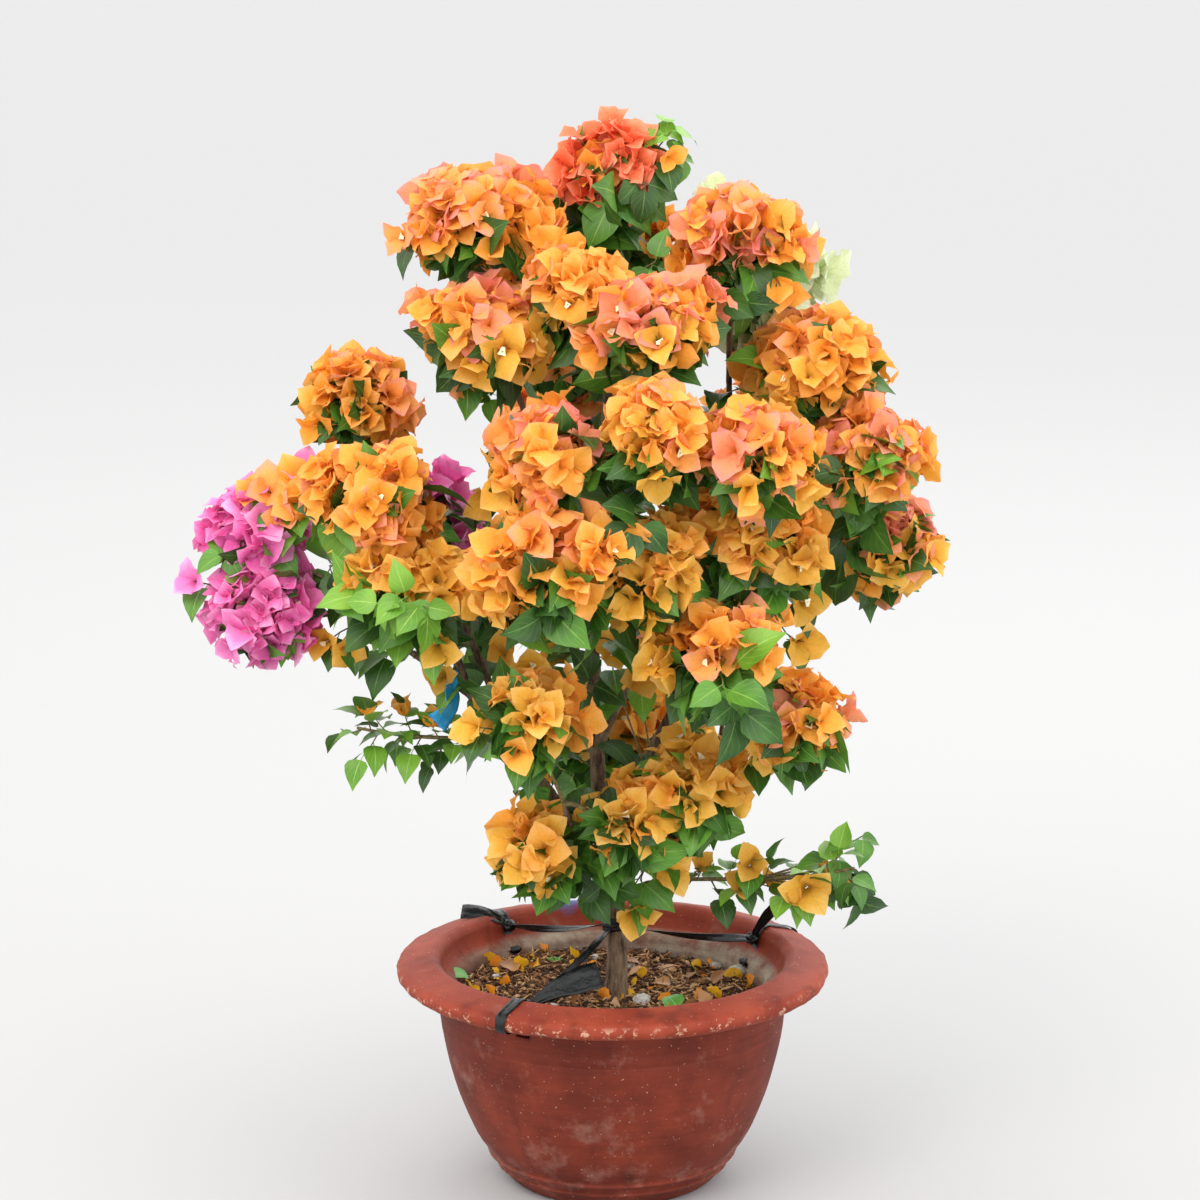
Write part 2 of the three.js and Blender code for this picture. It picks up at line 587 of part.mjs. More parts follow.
// The lip made a little larger, to cut a tail clear of it.
const grownLip = lipLine(film.gap / 2, 5);
const lipCutter = lathe([...grownLip, grownLip[0]]);
const ringCutter = joined([collarRing(clearance), cutters[0]]);
const done = [];
for (const guy of guys) {
  const turn = THREE.MathUtils.degToRad(guy.angle);
  const radial = new THREE.Vector3(Math.cos(turn), Math.sin(turn), 0);
  const across = new THREE.Vector3(-Math.sin(turn), Math.cos(turn), 0);
  const inset = pot.crest.at - pot.crest.radius - film.gap - film.knotRadius;
  const knot = radial.clone().multiplyScalar(inset).setZ(pot.crest.height + 1);
  const { point } = onTrunk(collar.height);
  const lump = new THREE.OctahedronGeometry(film.knotRadius, 1).scale(1, 1, 0.8);
  const tailEnd = knot.clone().add(vec(guy.tail));
  const parts = [
    band(guy.angle),
    solidOf(lump).translate(knot.toArray()),
    strip(knot, point, across, up, { width: film.stripWidth, thickness: film.thickness, flare: 0.7 }),
    strip(knot, tailEnd, across, across, { width: film.width, thickness: film.thickness, flare: 1.5 }),
  ];
  const cut = guy.hasCollar ? cutters[0] : ringCutter;
  let solid = joined(parts).subtract(cut);
  if (guy.hasCollar) solid = joined([solid, collarRing(0).subtract(cutters[0])]);
  solid = without(solid, [lipCutter, ...done]);
  done.push(solid);
  add(guy.name, largest(solid), "film");
}

// The ribbon hangs from a bough and spreads towards its loose end.
const ribbonTop = limbs.get(ribbon.hangsOn).path.getPointAt(ribbon.at);
const ribbonEnd = ribbonTop.clone().add(new THREE.Vector3(-14, -4, -ribbon.length));
const ribbonSide = vec([1, 0.3, 0]);
const ribbonStrip = strip(ribbonTop, ribbonEnd, ribbonSide, ribbonSide, ribbon);
add("ribbon", largest(without(ribbonStrip, cutters)), "ribbon");

export default group;
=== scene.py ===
import math

import bmesh
import bpy
import numpy as np
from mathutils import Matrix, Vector, noise


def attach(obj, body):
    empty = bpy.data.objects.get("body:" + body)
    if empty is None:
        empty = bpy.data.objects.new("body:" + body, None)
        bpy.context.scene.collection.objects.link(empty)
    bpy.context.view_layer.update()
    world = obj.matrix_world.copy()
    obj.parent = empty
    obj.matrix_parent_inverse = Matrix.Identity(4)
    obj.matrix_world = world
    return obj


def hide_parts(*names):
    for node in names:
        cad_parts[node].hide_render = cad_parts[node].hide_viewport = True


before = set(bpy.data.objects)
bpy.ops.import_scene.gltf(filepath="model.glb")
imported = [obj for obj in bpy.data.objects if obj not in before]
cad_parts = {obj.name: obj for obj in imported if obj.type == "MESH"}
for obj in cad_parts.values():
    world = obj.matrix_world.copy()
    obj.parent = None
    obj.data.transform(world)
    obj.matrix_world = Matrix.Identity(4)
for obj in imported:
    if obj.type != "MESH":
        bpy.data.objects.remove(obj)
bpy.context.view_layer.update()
bpy.ops.object.select_all(action="DESELECT")
print("frame loaded")

mm = 0.001
up = np.array([0.0, 0.0, 1.0])
golden = math.pi * (3 - math.sqrt(5))


# small helpers for places, objects and nodes
def unit(v):
    return v / max(np.linalg.norm(v), 1e-9)


def linear(code):
    parts = [int(code[i:i + 2], 16) / 255 for i in (1, 3, 5)]
    return tuple(p / 12.92 if p <= 0.04045 else ((p + 0.055) / 1.055) ** 2.4 for p in parts) + (1.0,)


def newMaterial(name):
    material = bpy.data.materials.new(name)
    material.use_nodes = True
    material.node_tree.nodes.clear()
    return material, material.node_tree


# adds one node; a node or a socket among the inputs is linked, and anything else is set
def addNode(tree, kind, inputs=None, **settings):
    node = tree.nodes.new("ShaderNode" + kind)
    for key, value in settings.items():
        setattr(node, key, value)
    for key, value in (inputs or {}).items():
        if isinstance(value, bpy.types.Node):
            value = value.outputs[0]
        if isinstance(value, bpy.types.NodeSocket):
            tree.links.new(value, node.inputs[key])
        else:
            node.inputs[key].default_value = value
    return node


def setOnly(obj):
    bpy.ops.object.select_all(action="DESELECT")
    obj.select_set(True)
    bpy.context.view_layer.objects.active = obj


def restPlaces(obj):
    return [v.co.copy() for v in obj.data.vertices]


# in edit mode, selects the vertices whose place passes the test
def pickVertices(obj, test, places=None):
    edit = bmesh.from_edit_mesh(obj.data)
    for i, vert in enumerate(edit.verts):
        vert.select = bool(test(places[i] if places else vert.co))
    edit.select_mode = {"VERT"}
    edit.select_flush_mode()
    bmesh.update_edit_mesh(obj.data)


def applyModifier(obj, kind, **settings):
    setOnly(obj)
    bpy.ops.object.modifier_add(type=kind)
    modifier = obj.modifiers[-1]
    for key, value in settings.items():
        setattr(modifier, key, value)
    bpy.ops.object.modifier_apply(modifier=modifier.name)


def addObject(name, data):
    obj = bpy.data.objects.new(name, data)
    bpy.context.scene.collection.objects.link(obj)
    return obj


# raises the surface by a noise whose size is in mm; a stretched noise follows a scaled empty
def addRelief(obj, kind, size, strength, group="", stretch=None, contrast=1.0, middle=0.5, bright=1.0):
    texture = bpy.data.textures.new(obj.name + kind, kind)
    texture.noise_scale = size * mm
    if kind == "CLOUDS":
        texture.noise_depth = 3
    texture.contrast = contrast
    texture.intensity = bright
    helper = None
    if stretch:
        bpy.ops.object.empty_add()
        helper = bpy.context.object
        helper.scale = stretch
        bpy.context.view_layer.update()
    applyModifier(obj, "DISPLACE", texture=texture, strength=strength * mm, mid_level=middle,
                  vertex_group=group, texture_coords="OBJECT" if helper else "LOCAL",
                  texture_coords_object=helper)
    if helper:
        bpy.data.objects.remove(helper)


def dress(obj, material, slot, *nodes):
    obj.data.materials.clear()
    obj.data.materials.append(material)
    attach(obj, "root")
    if nodes:
        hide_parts(*nodes)


# camera, floor and light
view = {"place": (-13.902, -4500, 1650), "pitch": 12.424, "lens": 126.395, "sensor": 36}
bpy.ops.object.camera_add(
    location=[v * mm for v in view["place"]], rotation=(math.radians(90 - view["pitch"]), 0, 0)
)
camera = bpy.context.object
camera.data.sensor_fit = "HORIZONTAL"
camera.data.sensor_width = view["sensor"]
camera.data.lens = view["lens"]
camera.data.clip_end = 200
bpy.context.scene.camera = camera
bpy.context.scene.view_settings.view_transform = "Standard"

# the studio and its lamps are laid out in metres
studio = {"floorRadius": 60, "floorDrop": 0.0005, "floor": "#ADADAD", "sky": "#FAFAFA", "skyPower": 2.0,
          "aim": (0, 0, 0.65)}
bpy.ops.mesh.primitive_circle_add(
    vertices=64, radius=studio["floorRadius"], fill_type="NGON", location=(0, 0, -studio["floorDrop"])
)
floor = bpy.context.object
floor.name = "floor"
material, tree = newMaterial("matteStudioFloor")
grain = addNode(tree, "TexNoise", {"Scale": 0.6, "Detail": 2.0})
shade = addNode(tree, "MapRange", {"Value": grain, "To Min": 0.97, "To Max": 1.0})
tint = addNode(tree, "HueSaturation", {"Value": shade, "Color": linear(studio["floor"])})
surface = addNode(tree, "BsdfPrincipled", {"Base Color": tint, "Roughness": 0.85, "Specular IOR Level": 0.2})
addNode(tree, "OutputMaterial", {"Surface": surface})
floor.data.materials.append(material)

world = bpy.data.worlds.new("softStudio")
bpy.context.scene.world = world
world.use_nodes = True
world.node_tree.nodes["Background"].inputs["Color"].default_value = linear(studio["sky"])
world.node_tree.nodes["Background"].inputs["Strength"].default_value = studio["skyPower"]

lamps = [
    {"name": "keyLamp", "place": (-1.6, -3.2, 4.2), "size": 2.4, "power": 95, "tint": "#FFF8F0"},
    {"name": "fillLamp", "place": (2.8, -2.6, 2.4), "size": 2.8, "power": 22, "tint": "#F4F8FF"},
    {"name": "rimLamp", "place": (1.2, 3.4, 3.6), "size": 2.4, "power": 40, "tint": "#FFFFFF"},
]
for lamp in lamps:
    aim = Vector(studio["aim"]) - Vector(lamp["place"])
    bpy.ops.object.light_add(
        type="AREA", location=lamp["place"], rotation=aim.to_track_quat("-Z", "Y").to_euler()
    )
    light = bpy.context.object
    light.name = lamp["name"]
    light.data.shape = "DISK"
    light.data.size = lamp["size"]
    light.data.energy = lamp["power"]
    light.data.color = linear(lamp["tint"])[:3]
print("camera, floor and light placed")


# Each thin blade names its side ribs and middle rib as (width, strength), in shares of the blade.
# Papery bract: thin dry tissue that lets light through, matt, with a fine net of veins 3 mm apart.
bractPaper = {"roughness": 0.62, "through": 0.32, "ribs": 5, "slant": 0.9, "sideRib": (0.09, 1.0),
              "middleRib": (0.03, 1.0), "netCells": 11, "relief": 0.25, "blotch": 25}
# Leaf: a thin waxy skin, half glossy, with a paler rib down the middle and side ribs.
leafSkin = {"roughness": 0.42, "through": 0.16, "ribs": 6, "slant": 0.8, "sideRib": (0.07, 0.45),
            "middleRib": (0.035, 0.9), "relief": 0.35, "patchScale": 22.0}


# side ribs run out and forward from the middle rib
def veinNodes(tree, kind):
    blade = addNode(tree, "UVMap", uv_map="blade")
    split = addNode(tree, "SeparateXYZ", {"Vector": blade})
    fromRib = addNode(tree, "Math", {0: split.outputs["X"], 1: 0.5}, operation="SUBTRACT")
    fromRib = addNode(tree, "Math", {0: fromRib}, operation="ABSOLUTE")
    slanted = addNode(tree, "Math", {0: fromRib, 1: -kind["slant"], 2: split.outputs["Y"]},
                      operation="MULTIPLY_ADD")
    slanted = addNode(tree, "Math", {0: slanted, 1: kind["ribs"]}, operation="MULTIPLY")
    ribs = addNode(tree, "Math", {0: slanted, 1: 0.5}, operation="PINGPONG")
    shown = []
    for distance, (width, strength) in ((ribs, kind["sideRib"]), (fromRib, kind["middleRib"])):
        shown.append(addNode(tree, "MapRange", {"Value": distance, "From Max": width,
                                                "To Min": strength, "To Max": 0.0}))
    veins = addNode(tree, "Math", {0: shown[0], 1: shown[1]}, operation="MAXIMUM")
    return blade, split, fromRib, veins


# a thin blade: its skin, and the share of light that comes through it
def finishBlade(tree, kind, colour, inputs):
    skin = addNode(tree, "BsdfPrincipled", {"Base Color": colour, "Roughness": kind["roughness"], **inputs})
    glow = addNode(tree, "BsdfTranslucent", {"Color": colour})
    both = addNode(tree, "MixShader", {0: kind["through"], 1: skin, 2: glow})
    addNode(tree, "OutputMaterial", {"Surface": both})


def bractMaterial(name, throat, body, margin):
    material, tree = newMaterial(name)
    blade, split, fromRib, veins = veinNodes(tree, bractPaper)
    net = addNode(tree, "TexVoronoi", {"Vector": blade, "Scale": bractPaper["netCells"]},
                  feature="DISTANCE_TO_EDGE")
    net = addNode(tree, "MapRange", {"Value": net.outputs["Distance"], "From Max": 0.08,
                                     "To Min": 0.7, "To Max": 0.0})
    veins = addNode(tree, "Math", {0: veins, 1: net}, operation="MAXIMUM")
    # colour from the throat to the margin, broken up by blotches
    place = addNode(tree, "TexCoord")
    blotches = addNode(tree, "TexNoise", {"Vector": place.outputs["Object"], "Detail": 3.0,
                                          "Scale": 1000 / bractPaper["blotch"]})
    shift = addNode(tree, "Math", {0: blotches, 1: 0.5}, operation="SUBTRACT")
    reach = addNode(tree, "Math", {0: shift, 1: 0.9, 2: split.outputs["Y"]}, operation="MULTIPLY_ADD")
    reach = addNode(tree, "Math", {0: fromRib, 1: 0.5, 2: reach}, operation="MULTIPLY_ADD")
    colour = linear(throat)
    for start, end, code in ((0.05, 0.45, body), (0.62, 1.15, margin)):
        share = addNode(tree, "MapRange", {"Value": reach, "From Min": start, "From Max": end},
                        interpolation_type="SMOOTHSTEP")
        colour = addNode(tree, "Mix", {0: share, 6: colour, 7: linear(code)}, data_type="RGBA").outputs[2]
    darker = addNode(tree, "MapRange", {"Value": veins, "To Min": 1.0, "To Max": 0.86})
    lit = addNode(tree, "MapRange", {"Value": blotches, "To Min": 0.86, "To Max": 1.14})
    value = addNode(tree, "Math", {0: darker, 1: lit}, operation="MULTIPLY")
    tone = addNode(tree, "HueSaturation", {"Value": value, "Color": colour})
    bump = addNode(tree, "Bump", {"Height": veins, "Strength": bractPaper["relief"], "Distance": 0.0006},
                   invert=True)
    finishBlade(tree, bractPaper, tone, {"IOR": 1.42, "Specular IOR Level": 0.3, "Normal": bump})
    return material


def leafMaterial(name, dark, light, rib):
    material, tree = newMaterial(name)
    veins = veinNodes(tree, leafSkin)[-1]
    place = addNode(tree, "TexCoord")
    patches = addNode(tree, "TexNoise", {"Vector": place.outputs["Object"], "Detail": 2.0,
                                         "Scale": leafSkin["patchScale"]})
    share = addNode(tree, "MapRange", {"Value": patches, "From Min": 0.35, "From Max": 0.7})
    base = addNode(tree, "Mix", {0: share, 6: linear(dark), 7: linear(light)}, data_type="RGBA")
    base = addNode(tree, "Mix", {0: veins, 6: base.outputs[2], 7: linear(rib)}, data_type="RGBA")
    bump = addNode(tree, "Bump", {"Height": veins, "Strength": leafSkin["relief"], "Distance": 0.0008},
                   invert=True)
    finishBlade(tree, leafSkin, base.outputs[2], {"IOR": 1.45, "Normal": bump})
    return material


# Matter with two mixed colours and a grain of its own size, for bark, mulch, stones and buds.
def grainMaterial(name, dark, light, size, roughness, stretch=1.0, relief=0.6, depth=1.0):
    material, tree = newMaterial(name)
    place = addNode(tree, "TexCoord")
    turned = addNode(tree, "Mapping", {"Vector": place.outputs["Object"], "Scale": (1, 1, 1 / stretch)})
    grain = addNode(tree, "TexNoise", {"Vector": turned, "Scale": 1000 / size, "Detail": 6.0,
                                       "Roughness": 0.65})
    share = addNode(tree, "MapRange", {"Value": grain, "From Min": 0.36, "From Max": 0.66})
    base = addNode(tree, "Mix", {0: share, 6: linear(dark), 7: linear(light)}, data_type="RGBA")
    bump = addNode(tree, "Bump", {"Height": grain, "Strength": relief, "Distance": depth * mm})
    surface = addNode(tree, "BsdfPrincipled", {"Base Color": base.outputs[2], "Roughness": roughness,
                                               "Specular IOR Level": 0.3, "Normal": bump})
    addNode(tree, "OutputMaterial", {"Surface": surface})
    return material


# blades: bracts and leaves, each shaped once from a grid
def takeArrays(obj):
    mesh = obj.data
    verts = np.zeros(len(mesh.vertices) * 3)
    mesh.vertices.foreach_get("co", verts)
    corners = np.zeros(len(mesh.loops), np.int32)
    mesh.loops.foreach_get("vertex_index", corners)
    starts = np.zeros(len(mesh.polygons), np.int32)
    mesh.polygons.foreach_get("loop_start", starts)
    uv = np.zeros(len(mesh.loops) * 2)
    if mesh.uv_layers:
        mesh.uv_layers[0].data.foreach_get("uv", uv)
    bpy.data.objects.remove(obj)
    return {"verts": verts.reshape(-1, 3), "corners": corners, "starts": starts, "uv": uv.reshape(-1, 2)}


# rows are (out, rise, width share, edge lift, skew); a lift is along the blade's own upper side, and the skew
# lifts the right edge and lowers the left one
def shapedBlade(name, width, rows):
    count, columns = len(rows) - 1, 4
    length = rows[-1][0]
    bpy.ops.mesh.primitive_grid_add(x_subdivisions=columns, y_subdivisions=count, size=1, location=(0, 0, 0))
    blade = bpy.context.object
    blade.name = name
    blade.scale = (width * mm, length * mm, 1)
    bpy.ops.object.transform_apply(location=False, rotation=False, scale=True)
    places = restPlaces(blade)
    half = width * mm / 2
    bpy.ops.object.mode_set(mode="EDIT")
    for i, (out, rise, share, lift, skew) in enumerate(rows):
        level = (i / count - 0.5) * length * mm
        before, after = rows[max(i - 1, 0)], rows[min(i + 1, count)]
        heading = math.atan2(after[0] - before[0], after[1] - before[1])
        pickVertices(blade, lambda p: abs(p.y - level) < 1e-5, places)
        bpy.ops.transform.resize(value=(share, 1, 1), center_override=(0, level, 0))
        bpy.ops.transform.translate(value=(0, out * mm - level, rise * mm))
        for column in range(columns + 1):
            across = 2 * column / columns - 1
            lifted = (lift * abs(across) ** 1.8 + skew * across * abs(across)) * mm
            if not lifted:
                continue
            pickVertices(blade, lambda p: abs(p.y - level) < 1e-5 and abs(p.x - across * half) < 1e-5, places)
            bpy.ops.transform.translate(value=(0, -math.cos(heading) * lifted, math.sin(heading) * lifted))
    bpy.ops.object.mode_set(mode="OBJECT")
    return takeArrays(blade)


# a bract opens from one heading off the flower's axis to another, and its edge waves
bract = {
    "length": 42, "width": 36,
    "outline": [0.16, 0.62, 0.90, 1.0, 0.95, 0.76, 0.42, 0.03],
    "kinds": [
        {"opens": (12, 40), "lift": 6.5, "wave": 1.4, "skew": 1.6},
        {"opens": (18, 60), "lift": 4.5, "wave": -2.0, "skew": -2.2},
        {"opens": (22, 82), "lift": 3.0, "wave": 2.4, "skew": 1.2},
        {"opens": (28, 104), "lift": 1.5, "wave": -2.6, "skew": 2.6},
        {"opens": (16, 92), "lift": -3.4, "wave": 2.2, "skew": -1.6},
        {"opens": (24, 66), "lift": 5.2, "wave": 1.8, "skew": -2.6},
    ],
}
bractBlades = []
for number, kind in enumerate(bract["kinds"]):
    rows, out, rise = [], 1.0, 0.0
    steps = len(bract["outline"]) - 1
    for i, share in enumerate(bract["outline"]):
        wave = kind["wave"] * (1 if i % 2 else -1)
        skew = kind["skew"] * math.sin(1.3 * i + number)
        rows.append((out, rise, share, (kind["lift"] + wave) * share, skew * share))
        heading = math.radians(kind["opens"][0] + (kind["opens"][1] - kind["opens"][0]) * i / (steps - 1))
        out += bract["length"] / steps * math.sin(heading)
        rise += bract["length"] / steps * math.cos(heading)
    bractBlades.append(shapedBlade("bractBlade%d" % number, bract["width"], rows))

leaf = {
    "width": 40, "length": 58,
    # out, rise, width share, edge lift: a petiole, a round base and a drawn tip that droops
    "rows": [(0, 0, 0.03, 0), (9, 1.5, 0.04, 0), (11.2, 2.0, 0.58, 1.2), (17, 2.8, 0.93, 2.4),
             (25, 3.6, 1.0, 3.0), (34, 3.6, 0.88, 2.6), (43, 2.4, 0.60, 1.6), (51, 0.0, 0.26, 0.6),
             (58, -3.0, 0.02, 0)],
    "kinds": [{"droop": 0.04, "fold": 1.0, "skew": 1.6}, {"droop": 0.18, "fold": 1.7, "skew": -1.4},
              {"droop": 0.30, "fold": 0.4, "skew": 1.0}, {"droop": -0.08, "fold": 2.1, "skew": -0.8}],
}
leafBlades = []
for number, kind in enumerate(leaf["kinds"]):
    rows = []
    for i, (out, rise, share, lift) in enumerate(leaf["rows"]):
        fall = kind["droop"] * out * out / leaf["length"]
        wave = (-1) ** i * 0.5 * share
        skew = kind["skew"] * share * math.sin(1.1 * i + number)
        rows.append((out, rise - fall, share, lift * kind["fold"] + wave, skew))
    leafBlades.append(shapedBlade("leafBlade%d" % number, leaf["width"], rows))
print("blades shaped")


# the small flower in the middle of three bracts, and its unopened buds
flower = {"tube": 13.5, "radius": 1.1, "throat": 2.2, "star": 6.4, "budLength": 17, "budRadius": 0.7}


def starFlower():
    bpy.ops.mesh.primitive_cylinder_add(
        vertices=10, radius=flower["radius"] * mm, depth=flower["tube"] * mm, end_fill_type="NOTHING",
        location=(0, 0, flower["tube"] / 2 * mm),
    )
    star = bpy.context.object
    bpy.ops.object.transform_apply(location=True, rotation=False, scale=False)
    top = flower["tube"] * mm
    bpy.ops.object.mode_set(mode="EDIT")
    pickVertices(star, lambda p: p.z > top - 1e-5)
    bpy.ops.mesh.extrude_region_move(TRANSFORM_OT_translate={"value": (0, 0, 0.4 * mm)})
    grow = flower["throat"] / flower["radius"]
    bpy.ops.transform.resize(value=(grow, grow, 1), center_override=(0, 0, top))
    bpy.ops.mesh.extrude_region_move(TRANSFORM_OT_translate={"value": (0, 0, 0.2 * mm)})
    grow = flower["star"] / flower["throat"]
    bpy.ops.transform.resize(value=(grow, grow, 1), center_override=(0, 0, top))
    # every second corner is drawn back, which leaves five points
    rim = flower["star"] * mm * 0.9
    pickVertices(star, lambda p: math.hypot(p.x, p.y) > rim
                 and round(math.degrees(math.atan2(p.y, p.x)) / 36) % 2 == 0)
    bpy.ops.transform.resize(value=(0.58, 0.58, 1), center_override=(0, 0, top))
    bpy.ops.object.mode_set(mode="OBJECT")
    return takeArrays(star)


def budTube():
    bpy.ops.mesh.primitive_cylinder_add(
        vertices=4, radius=flower["budRadius"] * mm, depth=flower["budLength"] * mm,
        location=(0, 0, -flower["budLength"] / 2 * mm),
    )
    bud = bpy.context.object
    bpy.ops.object.transform_apply(location=True, rotation=False, scale=False)
    bpy.ops.object.mode_set(mode="EDIT")
    # the stalk is below, and the tube swells before its blunt tip
    for rise, grow in ((6, 1.7), (8, 0.6)):
        pickVertices(bud, lambda p: p.z > max(v.co.z for v in bmesh.from_edit_mesh(bud.data).verts) - 1e-5)
        bpy.ops.mesh.extrude_region_move(TRANSFORM_OT_translate={"value": (0, 0, rise * mm)})
        bpy.ops.transform.resize(value=(grow, grow, 1), center_override=(0, 0, 0))
    bpy.ops.object.mode_set(mode="OBJECT")
    return takeArrays(bud)


starShape = starFlower()
budShape = budTube()


# joined meshes from arrays: every copy has its own mesh data in one piece
def joinedCopies(name, copies):
    verts, corners, starts, uv = [], [], [], []
    vertCount = cornerCount = 0
    for shape, places in copies:
        if not len(places):
            continue
        places = np.array(places)
        moved = np.einsum("nij,vj->nvi", places[:, :3, :3], shape["verts"]) + places[:, None, :3, 3]
        count, size = moved.shape[0], moved.shape[1]
        verts.append(moved.reshape(-1, 3))
        shifts = vertCount + np.arange(count)[:, None] * size
        corners.append((shape["corners"][None, :] + shifts).ravel())
        loops = len(shape["corners"])
        starts.append((shape["starts"][None, :] + cornerCount + np.arange(count)[:, None] * loops).ravel())
        uv.append(np.tile(shape["uv"], (count, 1)))
        vertCount += count * size
        cornerCount += count * loops
    mesh = bpy.data.meshes.new(name)
    verts, corners, starts = np.concatenate(verts), np.concatenate(corners), np.concatenate(starts)
    mesh.vertices.add(len(verts))
    mesh.vertices.foreach_set("co", verts.ravel())
    mesh.loops.add(len(corners))
    mesh.loops.foreach_set("vertex_index", corners.astype(np.int32))
    mesh.polygons.add(len(starts))
    mesh.polygons.foreach_set("loop_start", starts.astype(np.int32))
    mesh.uv_layers.new(name="blade")
    mesh.update(calc_edges=True)
    mesh.uv_layers["blade"].data.foreach_set("uv", np.concatenate(uv).ravel())
    mesh.polygons.foreach_set("use_smooth", np.ones(len(starts), bool))
    mesh.update()
    return addObject(name, mesh)


# a place from three axes: x across, y along, z the face
def axesPlace(root, x, y, z, size=1.0):
    place = np.eye(4)
    place[:3, 0], place[:3, 1], place[:3, 2] = x * size, y * size, z * size
    place[:3, 3] = root * mm
    return place


def bladePlace(root, along, face, size):
    y = unit(along)
    x = unit(np.cross(y, face))
    return axesPlace(root, x, y, np.cross(x, y), size)


# a side square to a line, turned about it
def turnedAbout(along, side, turn):
    return side * math.cos(turn) + np.cross(along, side) * math.sin(turn)


# a place whose z runs along the axis, turned about it
def axisPlace(root, axis, turn, size=1.0):
    z = unit(axis)
    side = unit(np.cross(z, (1, 0, 0) if abs(z[0]) < 0.8 else (0, 1, 0)))
    x = turnedAbout(z, side, turn)
    return axesPlace(root, x, np.cross(z, x), z, size)


# limbs, by the same rule as the frame's solids
def limbLine(points):
    points = np.array(points, float)
    steps = np.linalg.norm(np.diff(points, axis=0), axis=1)
    return {"points": points, "lengths": np.concatenate([[0], np.cumsum(steps)])}


def pointAt(line, share):
    length = share * line["lengths"][-1]
    return np.array([np.interp(length, line["lengths"], line["points"][:, i]) for i in range(3)])


def tangentAt(line, share):
    return unit(pointAt(line, min(share + 0.01, 1)) - pointAt(line, max(share - 0.01, 0)))


def bezierPoints(a, b, c, d, count=41):
    t = np.linspace(0, 1, count)[:, None]
    return (1 - t) ** 3 * a + 3 * (1 - t) ** 2 * t * b + 3 * (1 - t) * t * t * c + t ** 3 * d


# a smooth line through the points, with centripetal spacing
def splinePoints(points, count=24):
    points = [np.array(p, float) for p in points]
    points = [2 * points[0] - points[1]] + points + [2 * points[-1] - points[-2]]
    out = []
    for p0, p1, p2, p3 in zip(points, points[1:], points[2:], points[3:]):
        a, b, c = (math.sqrt(np.linalg.norm(q - p)) for p, q in ((p0, p1), (p1, p2), (p2, p3)))
        leave = ((p1 - p0) / a - (p2 - p0) / (a + b) + (p2 - p1) / b) * b
        arrive = ((p2 - p1) / b - (p3 - p1) / (b + c) + (p3 - p2) / c) * b
        for t in np.arange(count) / count:
            out.append((2 * t ** 3 - 3 * t ** 2 + 1) * p1 + (t ** 3 - 2 * t ** 2 + t) * leave
                       + (3 * t ** 2 - 2 * t ** 3) * p2 + (t ** 3 - t ** 2) * arrive)
    return np.array(out + [points[-2]])


soilHeight = 207
trunk = {
    "foot": soilHeight + 0.3, "footRadius": 12.4, "topRadius": 10.6, "flare": 0.4, "flareHeight": 14,
    "route": [(3, -8, 0), (5, -6, 55), (0, -2, 95), (-6, 0, 133)],
}
# name, limb it leaves, share of that limb, tip, radii at its two ends
boughs = [
    ("bough_left", "trunk", 0.92, (-168, -110, 620), (8, 4.5)),
    ("bough_centre", "trunk", 1, (-27, -80, 700), (9, 5)),
    ("bough_right", "trunk", 0.84, (112, -70, 503), (6.5, 4)),
    ("bough_right_up", "trunk", 0.97, (152, -50, 735), (8, 4.5)),
    ("bough_back", "trunk", 0.95, (-20, 130, 610), (8, 5)),
    ("bough_low_front", "trunk", 0.8, (-52, -140, 465), (5.5, 3.5)),
    ("bough_far_left", "bough_left", 0.8, (-300, -75, 690), (4.4, 3)),
    ("bough_left_high", "bough_left", 0.5, (-205, -45, 790), (5, 3.5)),
    ("bough_front", "bough_centre", 0.5, (-15, -195, 775), (5, 3.5)),
    ("bough_top", "bough_centre", 0.82, (0, 0, 1000), (4.6, 3.2)),
    ("bough_top_left", "bough_centre", 0.93, (-110, -55, 930), (4.4, 3.2)),
    ("bough_top_right", "bough_right_up", 0.75, (125, -35, 960), (4.4, 3.2)),
    ("bough_far_right", "bough_right_up", 0.6, (225, -70, 770), (4.8, 3.4)),
    ("bough_back_right", "bough_back", 0.5, (140, 120, 700), (5, 3.4)),
    ("bough_back_up", "bough_back", 0.85, (0, 120, 890), (4.8, 3.2)),
]
